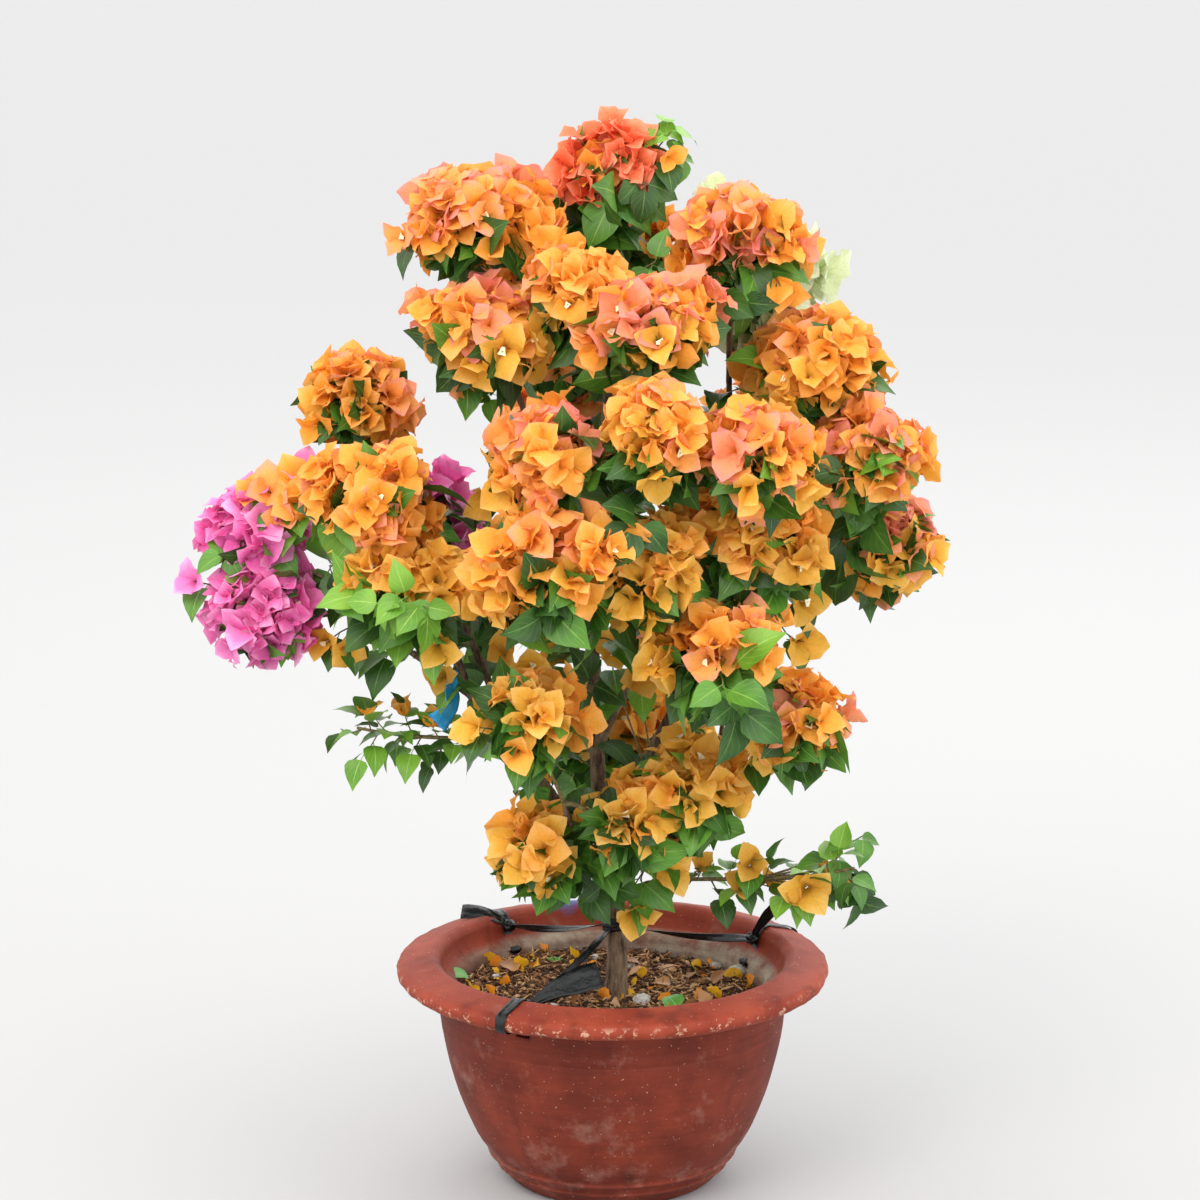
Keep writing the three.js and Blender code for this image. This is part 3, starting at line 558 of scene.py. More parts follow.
# name, limb it hangs on, share of that limb, middle, half size, share in blossom, tint
masses = [
    ("top_coral", "bough_top", 1, (2, 0, 1127), (80, 70, 46), 0.8, "coral"),
    ("top_leaves", "bough_top", 1, (-30, 0, 1066), (80, 70, 44), 0, "leaf"),
    ("upper_left", "bough_top_left", 1, (-140, -70, 1079), (96, 92, 66), 0.78, "peach"),
    ("upper_right", "bough_top_right", 1, (136, -80, 1049), (92, 95, 70), 0.75, "peach"),
    ("white_back", "bough_top_right", 1, (148, 55, 1005), (82, 60, 80), 1, "white"),
    ("upper_middle", "bough_top", 1, (-38, -145, 1016), (70, 75, 60), 0.66, "orange"),
    ("left_shoulder", "bough_top_left", 1, (-136, -115, 970), (98, 88, 62), 0.72, "peach"),
    ("upper_centre", "bough_front", 1, (40, -185, 985), (80, 80, 60), 0.7, "peach"),
    ("left_outlier", "bough_left_high", 1, (-277, -40, 887), (92, 66, 40), 1, "orange"),
    ("left_large", "bough_left_high", 1, (-254, -145, 795), (92, 88, 72), 0.8, "orange"),
    ("pink_upper", "bough_far_left", 1, (-384, -60, 742), (66, 66, 54), 0.85, "pink"),
    ("pink_lower", "bough_far_left", 1, (-370, -90, 668), (72, 68, 62), 1, "pink"),
    ("left_low", "bough_left", 1, (-218, -185, 705), (98, 88, 70), 0.42, "gold"),
    ("centre_left", "bough_front", 1, (-65, -250, 854), (80, 76, 66), 0.66, "peach"),
    ("centre", "bough_front", 1, (40, -260, 881), (70, 75, 70), 0.68, "orange"),
    ("centre_right", "bough_right_up", 1, (146, -240, 862), (85, 80, 70), 0.74, "peach"),
    ("right_upper", "bough_far_right", 1, (213, -95, 927), (95, 95, 75), 0.85, "orange"),
    ("right_large", "bough_far_right", 1, (260, -120, 834), (86, 100, 82), 0.82, "peach"),
    ("right_low", "bough_far_right", 1, (290, -80, 733), (72, 85, 68), 0.9, "peach"),
    ("inner_right", "bough_right_up", 1, (140, -180, 755), (100, 80, 100), 0.72, "gold"),
    ("centre_low", "bough_front", 1, (-60, -275, 740), (105, 85, 88), 0.66, "orange"),
    ("centre_low_right", "bough_front", 1, (32, -235, 740), (68, 75, 80), 0.66, "gold"),
    ("low_right", "bough_right", 1, (108, -230, 641), (90, 85, 74), 0.7, "orange"),
    ("low_right_tip", "bough_right", 1, (194, -165, 557), (70, 75, 65), 0.8, "peach"),
    ("low_left", "bough_low_front", 1, (-88, -225, 579), (84, 72, 54), 0.6, "gold"),
    ("low_centre", "bough_low_front", 1, (14, -140, 439), (50, 58, 84), 0.8, "gold"),
    ("low_centre_right", "trunk", 0.9, (78, -120, 471), (78, 70, 85), 0.68, "gold"),
    ("bottom_left", "trunk", 0.79, (-74, -110, 406), (74, 66, 48), 0.85, "gold"),
    ("left_spray", "bough_left", 0.62, (-222, -90, 540), (105, 85, 72), 0.2, "leaf"),
    ("right_spray", "trunk", 0.78, (182, -60, 379), (125, 85, 78), 0.3, "leaf"),
    ("back_top", "bough_back_up", 1, (5, 110, 1045), (80, 85, 78), 0.8, "peach"),
    ("back_shoulder", "bough_back_up", 1, (-30, 155, 929), (112, 105, 95), 0.75, "orange"),
    ("back_left", "bough_left_high", 1, (-225, 60, 731), (110, 110, 72), 0.8, "pink"),
    ("back_centre", "bough_back", 1, (-30, 250, 782), (130, 105, 110), 0.75, "orange"),
    ("back_right", "bough_back_right", 1, (195, 155, 789), (130, 110, 110), 0.75, "peach"),
    ("back_low_left", "bough_back", 1, (-145, 180, 623), (125, 105, 105), 0.7, "gold"),
    ("back_low_right", "bough_back", 1, (90, 215, 618), (125, 105, 108), 0.7, "orange"),
    ("back_bottom", "trunk", 0.86, (10, 155, 458), (120, 95, 85), 0.65, "gold"),
]
# how far the stem of an open spray runs on past its middle, as a share of its half length
openMasses = {"left_spray": 0.52, "right_spray": 0.68}

limbs = {"trunk": limbLine(splinePoints([(x, y, trunk["foot"] + z) for x, y, z in trunk["route"]]))}


# a limb leaves its parent half along the parent's own line, and ends leaning up
def grownLine(parent, leaves, tip, outward=0.0):
    start = pointAt(limbs[parent], leaves)
    tip = np.array(tip, float)
    reach = np.linalg.norm(tip - start)
    straight = unit(tip - start)
    leaving = unit(tangentAt(limbs[parent], leaves) + straight)
    arriving = unit(straight + 0.45 * up)
    end = tip + outward * unit((tip - start) * (1, 1, 0))
    return limbLine(bezierPoints(start, start + leaving * reach * 0.33, tip - arriving * reach * 0.33, end))


for name, parent, leaves, tip, _ in boughs:
    limbs[name] = grownLine(parent, leaves, tip)
for name, parent, leaves, middle, size, _, _ in masses:
    outward = size[0] * openMasses.get(name, 0)
    limbs[name] = grownLine(parent, leaves, middle, outward)
print("limbs laid out")


def tubeCurve(name, lines, resolution):
    curve = bpy.data.curves.new(name, "CURVE")
    curve.dimensions = "3D"
    curve.bevel_depth = mm
    curve.bevel_resolution = resolution
    curve.use_fill_caps = True
    for points, radii in lines:
        spline = curve.splines.new("POLY")
        spline.points.add(len(points) - 1)
        spline.points.foreach_set("co", np.c_[points * mm, np.ones(len(points))].ravel())
        spline.points.foreach_set("radius", np.array(radii, float))
    setOnly(addObject(name, curve))
    bpy.ops.object.convert(target="MESH")
    obj = bpy.context.object
    bpy.ops.object.shade_smooth()
    return obj


# trunk and boughs are grown together at the forks, then the bark is raised on them
bark = {"voxel": 1.45, "ridge": 2.2, "ridgeSize": 9, "knot": 2.4, "knotSize": 28, "stretch": 5}
woodLines = []
height = np.linspace(0, 1, 40)
radii = (trunk["footRadius"] + (trunk["topRadius"] - trunk["footRadius"]) * height) * (
    1 + trunk["flare"] * np.exp(-height * trunk["route"][-1][2] / trunk["flareHeight"]))
woodLines.append((np.array([pointAt(limbs["trunk"], h) for h in height]), radii * 0.98))
for name, *_, (first, last) in boughs:
    shares = np.linspace(0, 1, 30)
    woodLines.append((np.array([pointAt(limbs[name], s) for s in shares]), first + (last - first) * shares))
wood = tubeCurve("trunkAndBoughs", woodLines, 4)
applyModifier(wood, "REMESH", mode="VOXEL", voxel_size=bark["voxel"] * mm, use_smooth_shade=True)
addRelief(wood, "CLOUDS", bark["knotSize"], bark["knot"])
addRelief(wood, "CLOUDS", bark["ridgeSize"], bark["ridge"], stretch=(1, 1, bark["stretch"]))
setOnly(wood)
bpy.ops.object.shade_smooth()
dress(wood, grainMaterial("furrowedBark", "#35281C", "#86705A", 7, 0.9, stretch=4, relief=0.9, depth=1.5),
      "bark", "trunk", *[b[0] for b in boughs])
print("wood", len(wood.data.polygons))


# A dense mass is full of twigs. Each ends a little way in from the surface, in a head of flowers or a tuft.
growth = {
    # one twig for each step by step of the surface, in mm, by where the mass is
    "frontStep": 55, "backStep": 68, "lowStep": 62, "backFrom": 50, "lowBelow": 600,
    # how far the ends stay in from the surface, and how far they may reach into a neighbour
    "setBack": 56, "tuftBack": 52, "whiteBack": 30, "leastReach": 0.22, "margin": 22,
    # lumps of the surface, other ones for each mass, and how far twigs stray from an even spacing
    "swell": (0.82, 1.09), "lump": 0.38, "lumpSize": 1.8, "lumpShift": 40, "stray": 0.2, "splay": 0.45,
    "gaps": 0.12, "flowers": (5, 7), "lowFlowers": (2, 5), "spread": (18, 72), "stalk": (6, 28), "lift": 0.28,
    "sameTone": 0.6, "bractSize": (0.62, 0.98), "whiteSize": 1.25, "starShare": 0.22, "budShare": 0.45,
    "leafAt": (0.5, 0.76, 1.0), "leafSize": (0.8, 1.2), "broadSize": (0.85, 1.15), "droop": (0.4, 0.6),
    "young": 0.06, "youngLeft": 0.3, "leftOf": -200, "leftBelow": 730,
    "twigRadii": (1.5, 0.7),
}
# for each tint, how its flowers share out over the tones, on top and in the shade; the shade share holds
# darker tones, which is painted shade
tones = {
    "coral": ({"coral": 0.9, "deepOrange": 0.1}, {"coral": 0.8, "deepOrange": 0.2}),
    "peach": ({"peach": 0.34, "salmon": 0.26, "brightOrange": 0.4},
              {"deepOrange": 0.5, "peach": 0.2, "gold": 0.3}),
    "orange": ({"brightOrange": 0.56, "peach": 0.24, "deepOrange": 0.2}, {"deepOrange": 0.5, "gold": 0.5}),
    "gold": ({"gold": 0.45, "brightOrange": 0.4, "brownGold": 0.15}, {"gold": 0.5, "brownGold": 0.5}),
    "pink": ({"magenta": 0.5, "lightMagenta": 0.5}, {"magenta": 0.7, "lightMagenta": 0.3}),
    "white": ({"whiteGreen": 1.0}, {"whiteGreen": 1.0}),
    "leaf": ({"gold": 0.6, "brightOrange": 0.4}, {"gold": 1.0}),
}
bractPlaces = {}
leafPlaces = {tone: [[] for _ in leafBlades] for tone in ("darkLeaf", "midLeaf", "youngLeaf")}
starPlaces, budPlaces, twigLines = [], [], []


def pickFrom(shares, draw):
    total = 0
    for name, share in shares.items():
        total += share
        if draw < total:
            return name
    return name


def addFlower(root, axis, tone, draw, size):
    turn = draw.uniform(0, 2 * math.pi)
    kinds = bractPlaces.setdefault(tone, [[] for _ in bractBlades])
    for j in range(3):
        around = turn + j * 2 * math.pi / 3 + draw.uniform(-0.25, 0.25)
        tilt = unit(axis + draw.uniform(-0.2, 0.2, 3))
        kind = kinds[draw.integers(len(kinds))]
        kind.append(axisPlace(root, tilt, around, size * draw.uniform(0.86, 1.12)))
    place = axisPlace(root, unit(axis + draw.uniform(-0.2, 0.2, 3)), turn, size)
    if draw.random() < growth["starShare"]:
        starPlaces.append(place)
    elif draw.random() < growth["budShare"]:
        budPlaces.append(place)


# a leaf's face is turned up and out, so that it shows from the side
def addLeaf(root, along, tone, draw, size, outward=up):
    face = unit(0.6 * up + 0.9 * outward + 0.35 * draw.uniform(-1, 1, 3))
    kinds = leafPlaces[tone]
    kinds[draw.integers(len(kinds))].append(bladePlace(root, along, face, size))


def leafTone(draw, young=0.1):
    value = draw.random()
    return "youngLeaf" if value < young else "midLeaf" if value < 0.45 + young / 2 else "darkLeaf"


def addTwig(start, leaving, tip, arriving, radii):
    reach = np.linalg.norm(tip - start)
    points = bezierPoints(start, start + leaving * reach * 0.35, tip - arriving * reach * 0.35, tip, 7)
    twigLines.append((points, np.linspace(radii[0], radii[1], 7)))
    return limbLine(points)


# even directions over a sphere
def around(k, count, turn):
    height = 1 - (2 * k + 1) / count
    ring = math.sqrt(1 - height * height)
    return np.array([ring * math.cos(k * golden + turn), ring * math.sin(k * golden + turn), height])


# planes between a mass and each one that it meets, where its twigs come to an end
def planesOf(index):
    name, _, _, middle, size, _, _ = masses[index]
    planes = []
    for other in masses:
        if other[0] == name:
            continue
        toward = np.array(other[3], float) - middle
        apart = np.linalg.norm(toward)
        toward /= apart
        own = np.linalg.norm(toward * size)
        theirs = np.linalg.norm(toward * other[4])
        if own + theirs > apart:
            planes.append((toward, apart * own / (own + theirs)))
    return planes


# leaves by turns along a twig, on to its end where it bears no flowers
def addTwigLeaves(twig, blooms, first, droop, young, outward, draw):
    for j, t in enumerate(growth["leafAt"][:1] if blooms else growth["leafAt"]):
        along = tangentAt(twig, t)
        side = turnedAbout(along, unit(np.cross(along, up + 0.01)), j * golden + first)
        direction = unit(0.5 * along + side - droop * draw.uniform(0.5, 1.2) * up)
        tone = leafTone(draw, young)
        addLeaf(pointAt(twig, t), direction, tone, draw, draw.uniform(*growth["leafSize"]), outward)


# a head of flowers, with broad leaves that stand out from under it, most of them on the lower side
def addHead(tip, outward, first, rise, tint, sparse, young, draw):
    for j in range(draw.integers(2, 4) if rise < 0.1 or sparse else draw.integers(0, 2)):
        across = axisPlace(tip, outward, draw.uniform(0, 2 * math.pi))[:3, 0]
        direction = unit(0.3 * outward + across - draw.uniform(0.3, 1.0) * up)
        tone = leafTone(draw, young)
        addLeaf(tip - outward * 10, direction, tone, draw, draw.uniform(*growth["broadSize"]), outward)
    # heads that face down take the darker shade tones: painted shade
    shaded = rise < -0.1 + draw.uniform(-0.35, 0.35)
    shares = tones[tint][1 if shaded else 0]
    tone = pickFrom(shares, draw.random())
    fewest, most = growth["lowFlowers" if sparse else "flowers"]
    flowers = draw.integers(fewest, most + 1)
    for j in range(flowers):
        tilt = math.radians(draw.uniform(*growth["spread"])) if j else 0
        turned = axisPlace(tip, outward, j * 2 * math.pi / max(flowers - 1, 1) + first)[:3, 0]
        axis = unit(outward * math.cos(tilt) + turned * math.sin(tilt) + growth["lift"] * up)
        stalk = draw.uniform(*growth["stalk"])
        picked = tone if draw.random() < growth["sameTone"] else pickFrom(shares, draw.random())
        large = growth["whiteSize"] if tint == "white" else 1.0
        addFlower(tip + axis * stalk, axis, picked, draw, large * draw.uniform(*growth["bractSize"]))


def growDense(index, draw):
    name, parent, leaves, middle, size, bloom, tint = masses[index]
    middle, size = np.array(middle, float), np.array(size, float)
    stem = limbs[name]
    planes = planesOf(index)
    grown = unit(middle - pointAt(limbs[parent], leaves))
    # the surface area of an ellipsoid, to about one part in a hundred
    sections = np.array([size[0] * size[1], size[0] * size[2], size[1] * size[2]])
    area = 4 * math.pi * ((sections ** 1.6).sum() / 3) ** 0.625
    atBack, isLow = middle[1] > growth["backFrom"], middle[2] < growth["lowBelow"]
    step = growth["backStep" if atBack else "lowStep" if isLow else "frontStep"]
    sparse = isLow and not atBack
    isLeft = middle[0] < growth["leftOf"] and middle[2] < growth["leftBelow"]
    young = growth["youngLeft" if isLeft else "young"]
    count = round(area / step ** 2) + 3
    for k in range(count):
        d = unit(around(k, count, middle[0]) + draw.uniform(-growth["stray"], growth["stray"], 3))
        lump = noise.noise(Vector(d * growth["lumpSize"] + middle / growth["lumpShift"]))
        surface = size * d * (draw.uniform(*growth["swell"]) + growth["lump"] * lump)
        if any(surface @ toward > reach + growth["margin"] for toward, reach in planes):
            continue
        outward = unit(unit(d / size) + draw.uniform(-growth["splay"], growth["splay"], 3))
        deep = np.linalg.norm(surface)
        isHigh = d[2] > 1 - 1.9 * bloom + draw.uniform(-0.3, 0.3) or bloom == 1
        blooms = (1 + d @ grown) / 2 > 1 - bloom and isHigh and draw.random() > growth["gaps"]
        setBack = growth["whiteBack" if tint == "white" else "setBack" if blooms else "tuftBack"]
        tip = middle + surface * max(growth["leastReach"], 1 - setBack / deep)
        share = draw.uniform(0.5, 0.98)
        start = pointAt(stem, share)
        leaving = unit(tangentAt(stem, share) + unit(tip - start))
        twig = addTwig(start, leaving, tip, outward, growth["twigRadii"])
        addTwigLeaves(twig, blooms, k, growth["droop"][0 if d[2] > 0 else 1], young, outward, draw)
        if blooms:
            addHead(tip, outward, k, d[2], tint, sparse, young, draw)


openTwigs = {"count": 13, "length": (18, 32), "radii": (1.1, 0.6), "leafSize": (0.5, 0.72), "bractSize": 0.62}


# twigs leave the stem by turns, with small leaves and here and there a flower at the end
def growOpen(index, draw):
    name, *_, bloom, _ = masses[index]
    stem = limbs[name]
    for k in range(openTwigs["count"]):
        t = 0.3 + 0.69 * (k + 0.5) / openTwigs["count"]
        along = tangentAt(stem, t)
        side = turnedAbout(along, unit(np.cross(up, along)), k * golden)
        direction = unit(0.5 * along + side)
        start = pointAt(stem, t)
        end = start + direction * draw.uniform(*openTwigs["length"])
        twig = addTwig(start, direction, end, unit(direction + 0.3 * up), openTwigs["radii"])
        for j, s in enumerate((0.4, 0.75, 1.0)):
            beside = unit(np.cross(direction, up)) * (1 if j % 2 else -1)
            tone = "youngLeaf" if name == "left_spray" and draw.random() < 0.5 else leafTone(draw, 0.2)
            addLeaf(pointAt(twig, s), unit(direction * 0.8 + beside * (0.9 if j < 2 else 0.1) - 0.2 * up),
                    tone, draw, draw.uniform(*openTwigs["leafSize"]))
        if draw.random() < bloom:
            tone = "brownGold" if name == "right_spray" else "brightOrange"
            addFlower(end, unit(direction + up), tone, draw, openTwigs["bractSize"])


for index, mass in enumerate(masses):
    draw = np.random.default_rng(index + 11)
    if mass[0] in openMasses:
        growOpen(index, draw)
    else:
        growDense(index, draw)

# single flowers and tufts that stand out from the masses: limb, place, aim, kind, tone, size
accents = [
    ("pink_upper", (-366, -80, 794), (-0.2, -0.8, 0.5), "flower", "peach", 0.9),
    ("pink_upper", (-338, -90, 781), (0.2, -0.8, 0.4), "flower", "brightOrange", 0.9),
    ("pink_upper", (-382, -70, 784), (-0.4, -0.7, 0.4), "flower", "brightOrange", 0.8),
    ("pink_upper", (-351, -90, 766), (0, -0.9, 0.2), "flower", "peach", 0.8),
    ("pink_upper", (-360, -90, 735), (-0.3, -0.8, 0.1), "tuft", "midLeaf", 0.85),
    ("pink_lower", (-413, -100, 733), (-0.4, -0.8, 0.3), "tuft", "midLeaf", 0.7),
    ("white_back", (111, 20, 1099), (-0.1, -0.5, 0.9), "flower", "whiteGreen", 0.8),
    ("top_coral", (3, -10, 1170), (0.1, -0.4, 0.9), "flower", "coral", 0.8),
    ("upper_left", (-215, -90, 1070), (-0.7, -0.6, 0), "flower", "peach", 0.75),
    ("left_shoulder", (-127, -90, 902), (0.4, -0.8, 0.2), "tuft", "midLeaf", 0.6),
    ("left_low", (-289, -90, 679), (-0.3, -0.9, 0.2), "tuft", "darkLeaf", 0.65),
    ("white_back", (157, 60, 957), (0, -0.9, -0.3), "flower", "whiteGreen", 1.15),
    ("white_back", (184, 60, 961), (0.3, -0.9, -0.3), "flower", "whiteGreen", 1.1),
    ("inner_right", (199, -130, 686), (0.5, -0.8, 0), "flower", "gold", 0.9),
    ("inner_right", (195, -130, 643), (0.5, -0.8, 0), "flower", "gold", 0.9),
    ("left_shoulder", (-156, -110, 920), (0.1, -0.8, -0.3), "flower", "peach", 0.8),
    ("centre_left", (-131, -90, 790), (-0.6, -0.7, -0.2), "flower", "brownGold", 0.8),
    ("upper_right", (107, -150, 1011), (0.1, -0.8, -0.4), "tuft", "darkLeaf", 0.8),
    ("upper_right", (135, -140, 1006), (0.4, -0.7, -0.4), "tuft", "darkLeaf", 0.85),
    ("left_low", (-282, -110, 633), (0.1, -0.8, -0.1), "flower", "brownGold", 0.75),
    ("low_centre_right", (126, -120, 496), (0.2, -0.9, 0.1), "flower", "gold", 0.8),
    ("low_centre_right", (54, -70, 377), (0.3, -0.8, 0.1), "flower", "gold", 0.95),
    ("low_centre_right", (30, -70, 360), (-0.1, -0.8, -0.2), "tuft", "midLeaf", 0.85),
    ("low_centre", (-7, -80, 359), (-0.1, -0.8, -0.2), "tuft", "darkLeaf", 0.9),
    ("low_centre", (-27, -70, 351), (-0.4, -0.8, 0), "tuft", "darkLeaf", 0.8),
    ("low_left", (-116, -90, 618), (-0.3, -0.8, 0.3), "flower", "brownGold", 0.8),
    ("low_left", (-89, -110, 608), (0.1, -0.8, 0.5), "flower", "gold", 0.85),
    ("low_left", (-61, -70, 618), (0.1, -0.8, 0.5), "flower", "brownGold", 0.85),
    ("low_centre_right", (-1, -110, 623), (0.1, -0.8, 0.5), "flower", "gold", 0.9),
    ("low_centre_right", (29, -110, 599), (0.1, -0.8, 0.3), "flower", "brownGold", 0.9),
    ("low_left", (-25, -120, 593), (0.1, -0.9, 0.1), "tuft", "darkLeaf", 0.9),
    ("low_left", (-138, -100, 582), (-0.5, -0.8, 0.1), "tuft", "darkLeaf", 0.95),
    ("low_left", (-179, -100, 597), (-0.5, -0.7, 0.3), "flower", "brownGold", 0.7),
    ("low_right_tip", (147, -130, 509), (0.2, -0.9, 0.1), "flower", "gold", 0.85),
    ("left_low", (-304, -80, 714), (-0.2, -0.9, 0.1), "tuft", "midLeaf", 0.95),
    ("left_low", (-304, -90, 635), (-0.4, -0.8, -0.2), "flower", "gold", 0.85),
    ("upper_middle", (44, -90, 1043), (0.3, -0.8, 0.3), "tuft", "midLeaf", 0.9),
    ("right_spray", (273, -60, 408), (0.5, -0.5, 0.5), "tuft", "midLeaf", 0.7),
    ("right_spray", (266, -60, 335), (0.4, -0.4, -0.8), "tuft", "darkLeaf", 0.75),
    ("low_centre_right", (21, -45, 323), (0.3, -0.8, -0.5), "flower", "gold", 0.95),
    ("right_spray", (150, -70, 377), (-0.1, -0.8, 0.5), "flower", "brownGold", 0.8),
    ("right_spray", (212, -70, 353), (0.1, -0.9, 0.1), "flower", "gold", 0.95),
    ("right_spray", (222, -60, 361), (0.6, -0.6, 0.3), "flower", "brownGold", 0.7),
    ("right_spray", (248, -60, 385), (0.5, -0.4, 0.9), "tuft", "midLeaf", 0.75),
    ("right_spray", (256, -62, 363), (0.4, -0.6, -0.5), "tuft", "darkLeaf", 0.8),
    ("right_spray", (262, -50, 346), (0.2, -0.4, -0.9), "tuft", "midLeaf", 0.7),
    ("left_low", (-182, -225, 660), (-0.3, -0.8, -0.2), "flower", "gold", 0.85),
    ("left_low", (-212, -270, 722), (0.1, -0.9, 0.25), "tuft", "youngLeaf", 0.8),
    ("left_low", (-192, -274, 710), (0.5, -0.8, -0.3), "tuft", "youngLeaf", 0.8),
    ("left_low", (-238, -262, 712), (-0.7, -0.7, 0.0), "tuft", "youngLeaf", 0.7),
    ("top_coral", (62, -24, 1174), (0.4, -0.7, 0.6), "tuft", "youngLeaf", 0.6),
    ("top_coral", (50, -20, 1182), (0.0, -0.7, 0.9), "tuft", "youngLeaf", 0.55),
    ("top_coral", (76, -18, 1148), (0.6, -0.7, 0.3), "tuft", "midLeaf", 0.5),
    ("pink_lower", (-447, -75, 695), (-0.4, -0.8, 0.2), "flower", "lightMagenta", 0.75),
    ("top_coral", (58, -30, 1147), (0.3, -0.8, -0.1), "flower", "brightOrange", 0.6),
    ("pink_upper", (-333, -62, 811), (0.2, -0.6, 0.7), "flower", "lightMagenta", 0.8),
    ("pink_upper", (-334, -75, 803), (-0.3, -0.8, 0.4), "flower", "brightOrange", 0.9),
    ("pink_upper", (-317, -70, 789), (0.2, -0.9, 0.2), "flower", "peach", 0.9),
    ("right_low", (248, -125, 746), (0.0, -0.5, -0.8), "tuft", "darkLeaf", 1.25),
    ("right_large", (267, -140, 774), (-0.4, -0.6, -0.5), "tuft", "darkLeaf", 1.15),
    ("top_leaves", (34, -50, 1120), (0.4, -0.5, -0.2), "tuft", "darkLeaf", 0.85),
    ("top_leaves", (0, -55, 1106), (0.0, -0.9, -0.2), "tuft", "midLeaf", 1.1),
    ("low_right", (112, -305, 634), (0.0, -0.9, -0.3), "tuft", "midLeaf", 0.95),
    ("low_right", (128, -300, 608), (0.2, -0.9, -0.5), "tuft", "darkLeaf", 1.0),
    ("upper_right", (168, -110, 937), (0.3, -0.7, 0.3), "tuft", "youngLeaf", 0.8),
    ("centre_low", (27, -300, 807), (0.1, -0.9, 0.0), "tuft", "darkLeaf", 1.1),
    ("low_left", (-139, -262, 581), (-0.5, -0.8, 0.2), "flower", "gold", 0.8),
    ("low_left", (-98, -268, 558), (-0.1, -0.9, 0.0), "flower", "brightOrange", 0.8),
]
draw = np.random.default_rng(3)
for name, place, aim, kind, tone, size in accents:
    root, aim = np.array(place, float), unit(np.array(aim))
    start = pointAt(limbs[name], 0.6)
    leaving = unit(tangentAt(limbs[name], 0.6) + unit(root - start))
    twig = addTwig(start, leaving, root, aim, growth["twigRadii"])
    if kind == "flower":
        addFlower(root, aim, tone, draw, size)
        addLeaf(pointAt(twig, 0.9), unit(aim - up), leafTone(draw), draw, 0.8, aim)
        continue
    for j in range(4 if tone == "youngLeaf" else 3):
        across = axisPlace(root, aim, j * golden + place[0])[:3, 0]
        addLeaf(root - aim * 6 * j, unit(0.35 * aim + across - 0.7 * up), tone, draw,
                size * draw.uniform(0.7, 1.1), aim)

# leaves stand along the upper part of each bough, on short side twigs
boughTwigs = {"step": 34, "from": 0.36, "span": 0.62, "length": (14, 30), "radii": (1.2, 0.7)}
draw = np.random.default_rng(7)
for name, *_ in boughs:
    line = limbs[name]
    leafy = line["lengths"][-1] * boughTwigs["span"]
    for k in range(int(leafy / boughTwigs["step"])):
        t = boughTwigs["from"] + boughTwigs["span"] * k * boughTwigs["step"] / leafy
        along = tangentAt(line, t)
        side = turnedAbout(along, unit(np.cross(along, up + 0.01)), k * golden)
        start = pointAt(line, t)
        end = start + unit(0.6 * along + side) * draw.uniform(*boughTwigs["length"])
        twig = addTwig(start, unit(along + side), end, side, boughTwigs["radii"])
        for j, s in enumerate((0.5, 1.0)):
            addLeaf(pointAt(twig, s), unit(side + 0.4 * along * (1 - j) - 0.25 * up), leafTone(draw), draw,
                    draw.uniform(0.7, 1.0))
print("shoots grown", len(twigLines), "flowers", len(starPlaces), len(budPlaces))

bractTones = {
    "coral": ("#EE7434", "#F67C50", "#F99C78", "coral_bracts"),
    "salmon": ("#F8A242", "#F8A274", "#F79E96", "peach_bracts"),
    "peach": ("#F8A23A", "#FCB05C", "#FAA88A", "peach_bracts"),
    "brightOrange": ("#F4A42E", "#FEB446", "#FEBE6A", "orange_bracts"),
    "deepOrange": ("#E69628", "#F6A83A", "#FAB462", "orange_bracts"),
    "gold": ("#CC9628", "#F2B844", "#F8C86C", "gold_bracts"),
    "brownGold": ("#B4822A", "#DEA43C", "#E8B658", "gold_bracts"),
    "magenta": ("#DA4C9C", "#F46CB8", "#F89ACE", "pink_bracts"),
    "lightMagenta": ("#E468AE", "#F88CCA", "#FCB4DE", "pink_bracts"),
    "whiteGreen": ("#BCCE84", "#D6E2AE", "#E4EBCC", "white_bracts"),
}
tintTones = {"coral": ["coral"], "peach": ["peach", "salmon"], "orange": ["brightOrange", "deepOrange"],
             "gold": ["gold", "brownGold"], "pink": ["magenta", "lightMagenta"], "white": ["whiteGreen"]}
for tone, kinds in bractPlaces.items():
    throat, body, margin, slot = bractTones[tone]
    piece = joinedCopies(tone + "Bracts", list(zip(bractBlades, kinds)))
    standsFor = [m[0] for m in masses if m[6] in tintTones and tone in tintTones[m[6]]]
    dress(piece, bractMaterial(tone + "BractPaper", throat, body, margin), slot, *standsFor)
    print(piece.name, len(piece.data.polygons))
leafTones = {"darkLeaf": ("#264618", "#406C24", "#688E40"), "midLeaf": ("#3E6E20", "#5E9430", "#8AB04C"),
             "youngLeaf": ("#568A24", "#7EAE38", "#A2C65E")}
for tone, kinds in leafPlaces.items():
    piece = joinedCopies(tone + "Blades", list(zip(leafBlades, kinds)))
    dress(piece, leafMaterial(tone + "Skin", *leafTones[tone]), "leaves",
          *[m[0] for m in masses if m[6] == "leaf"])
    print(piece.name, len(piece.data.polygons))
stars = joinedCopies("starFlowers", [(starShape, starPlaces)])
dress(stars, grainMaterial("creamPetal", "#E8E2B0", "#FBF8DC", 3, 0.5, relief=0.2, depth=0.3), "white_bracts")
buds = joinedCopies("flowerBuds", [(budShape, budPlaces)])
dress(buds, grainMaterial("greenBronzeBud", "#7A4A20", "#A8702E", 4, 0.6, relief=0.3, depth=0.4),
      "gold_bracts")
for name, *_ in masses:
    shares = np.linspace(0, 1, 12)
    twigLines.append((np.array([pointAt(limbs[name], s) for s in shares]), 2.9 - 1.3 * shares))
twigs = tubeCurve("twigs", twigLines, 0)
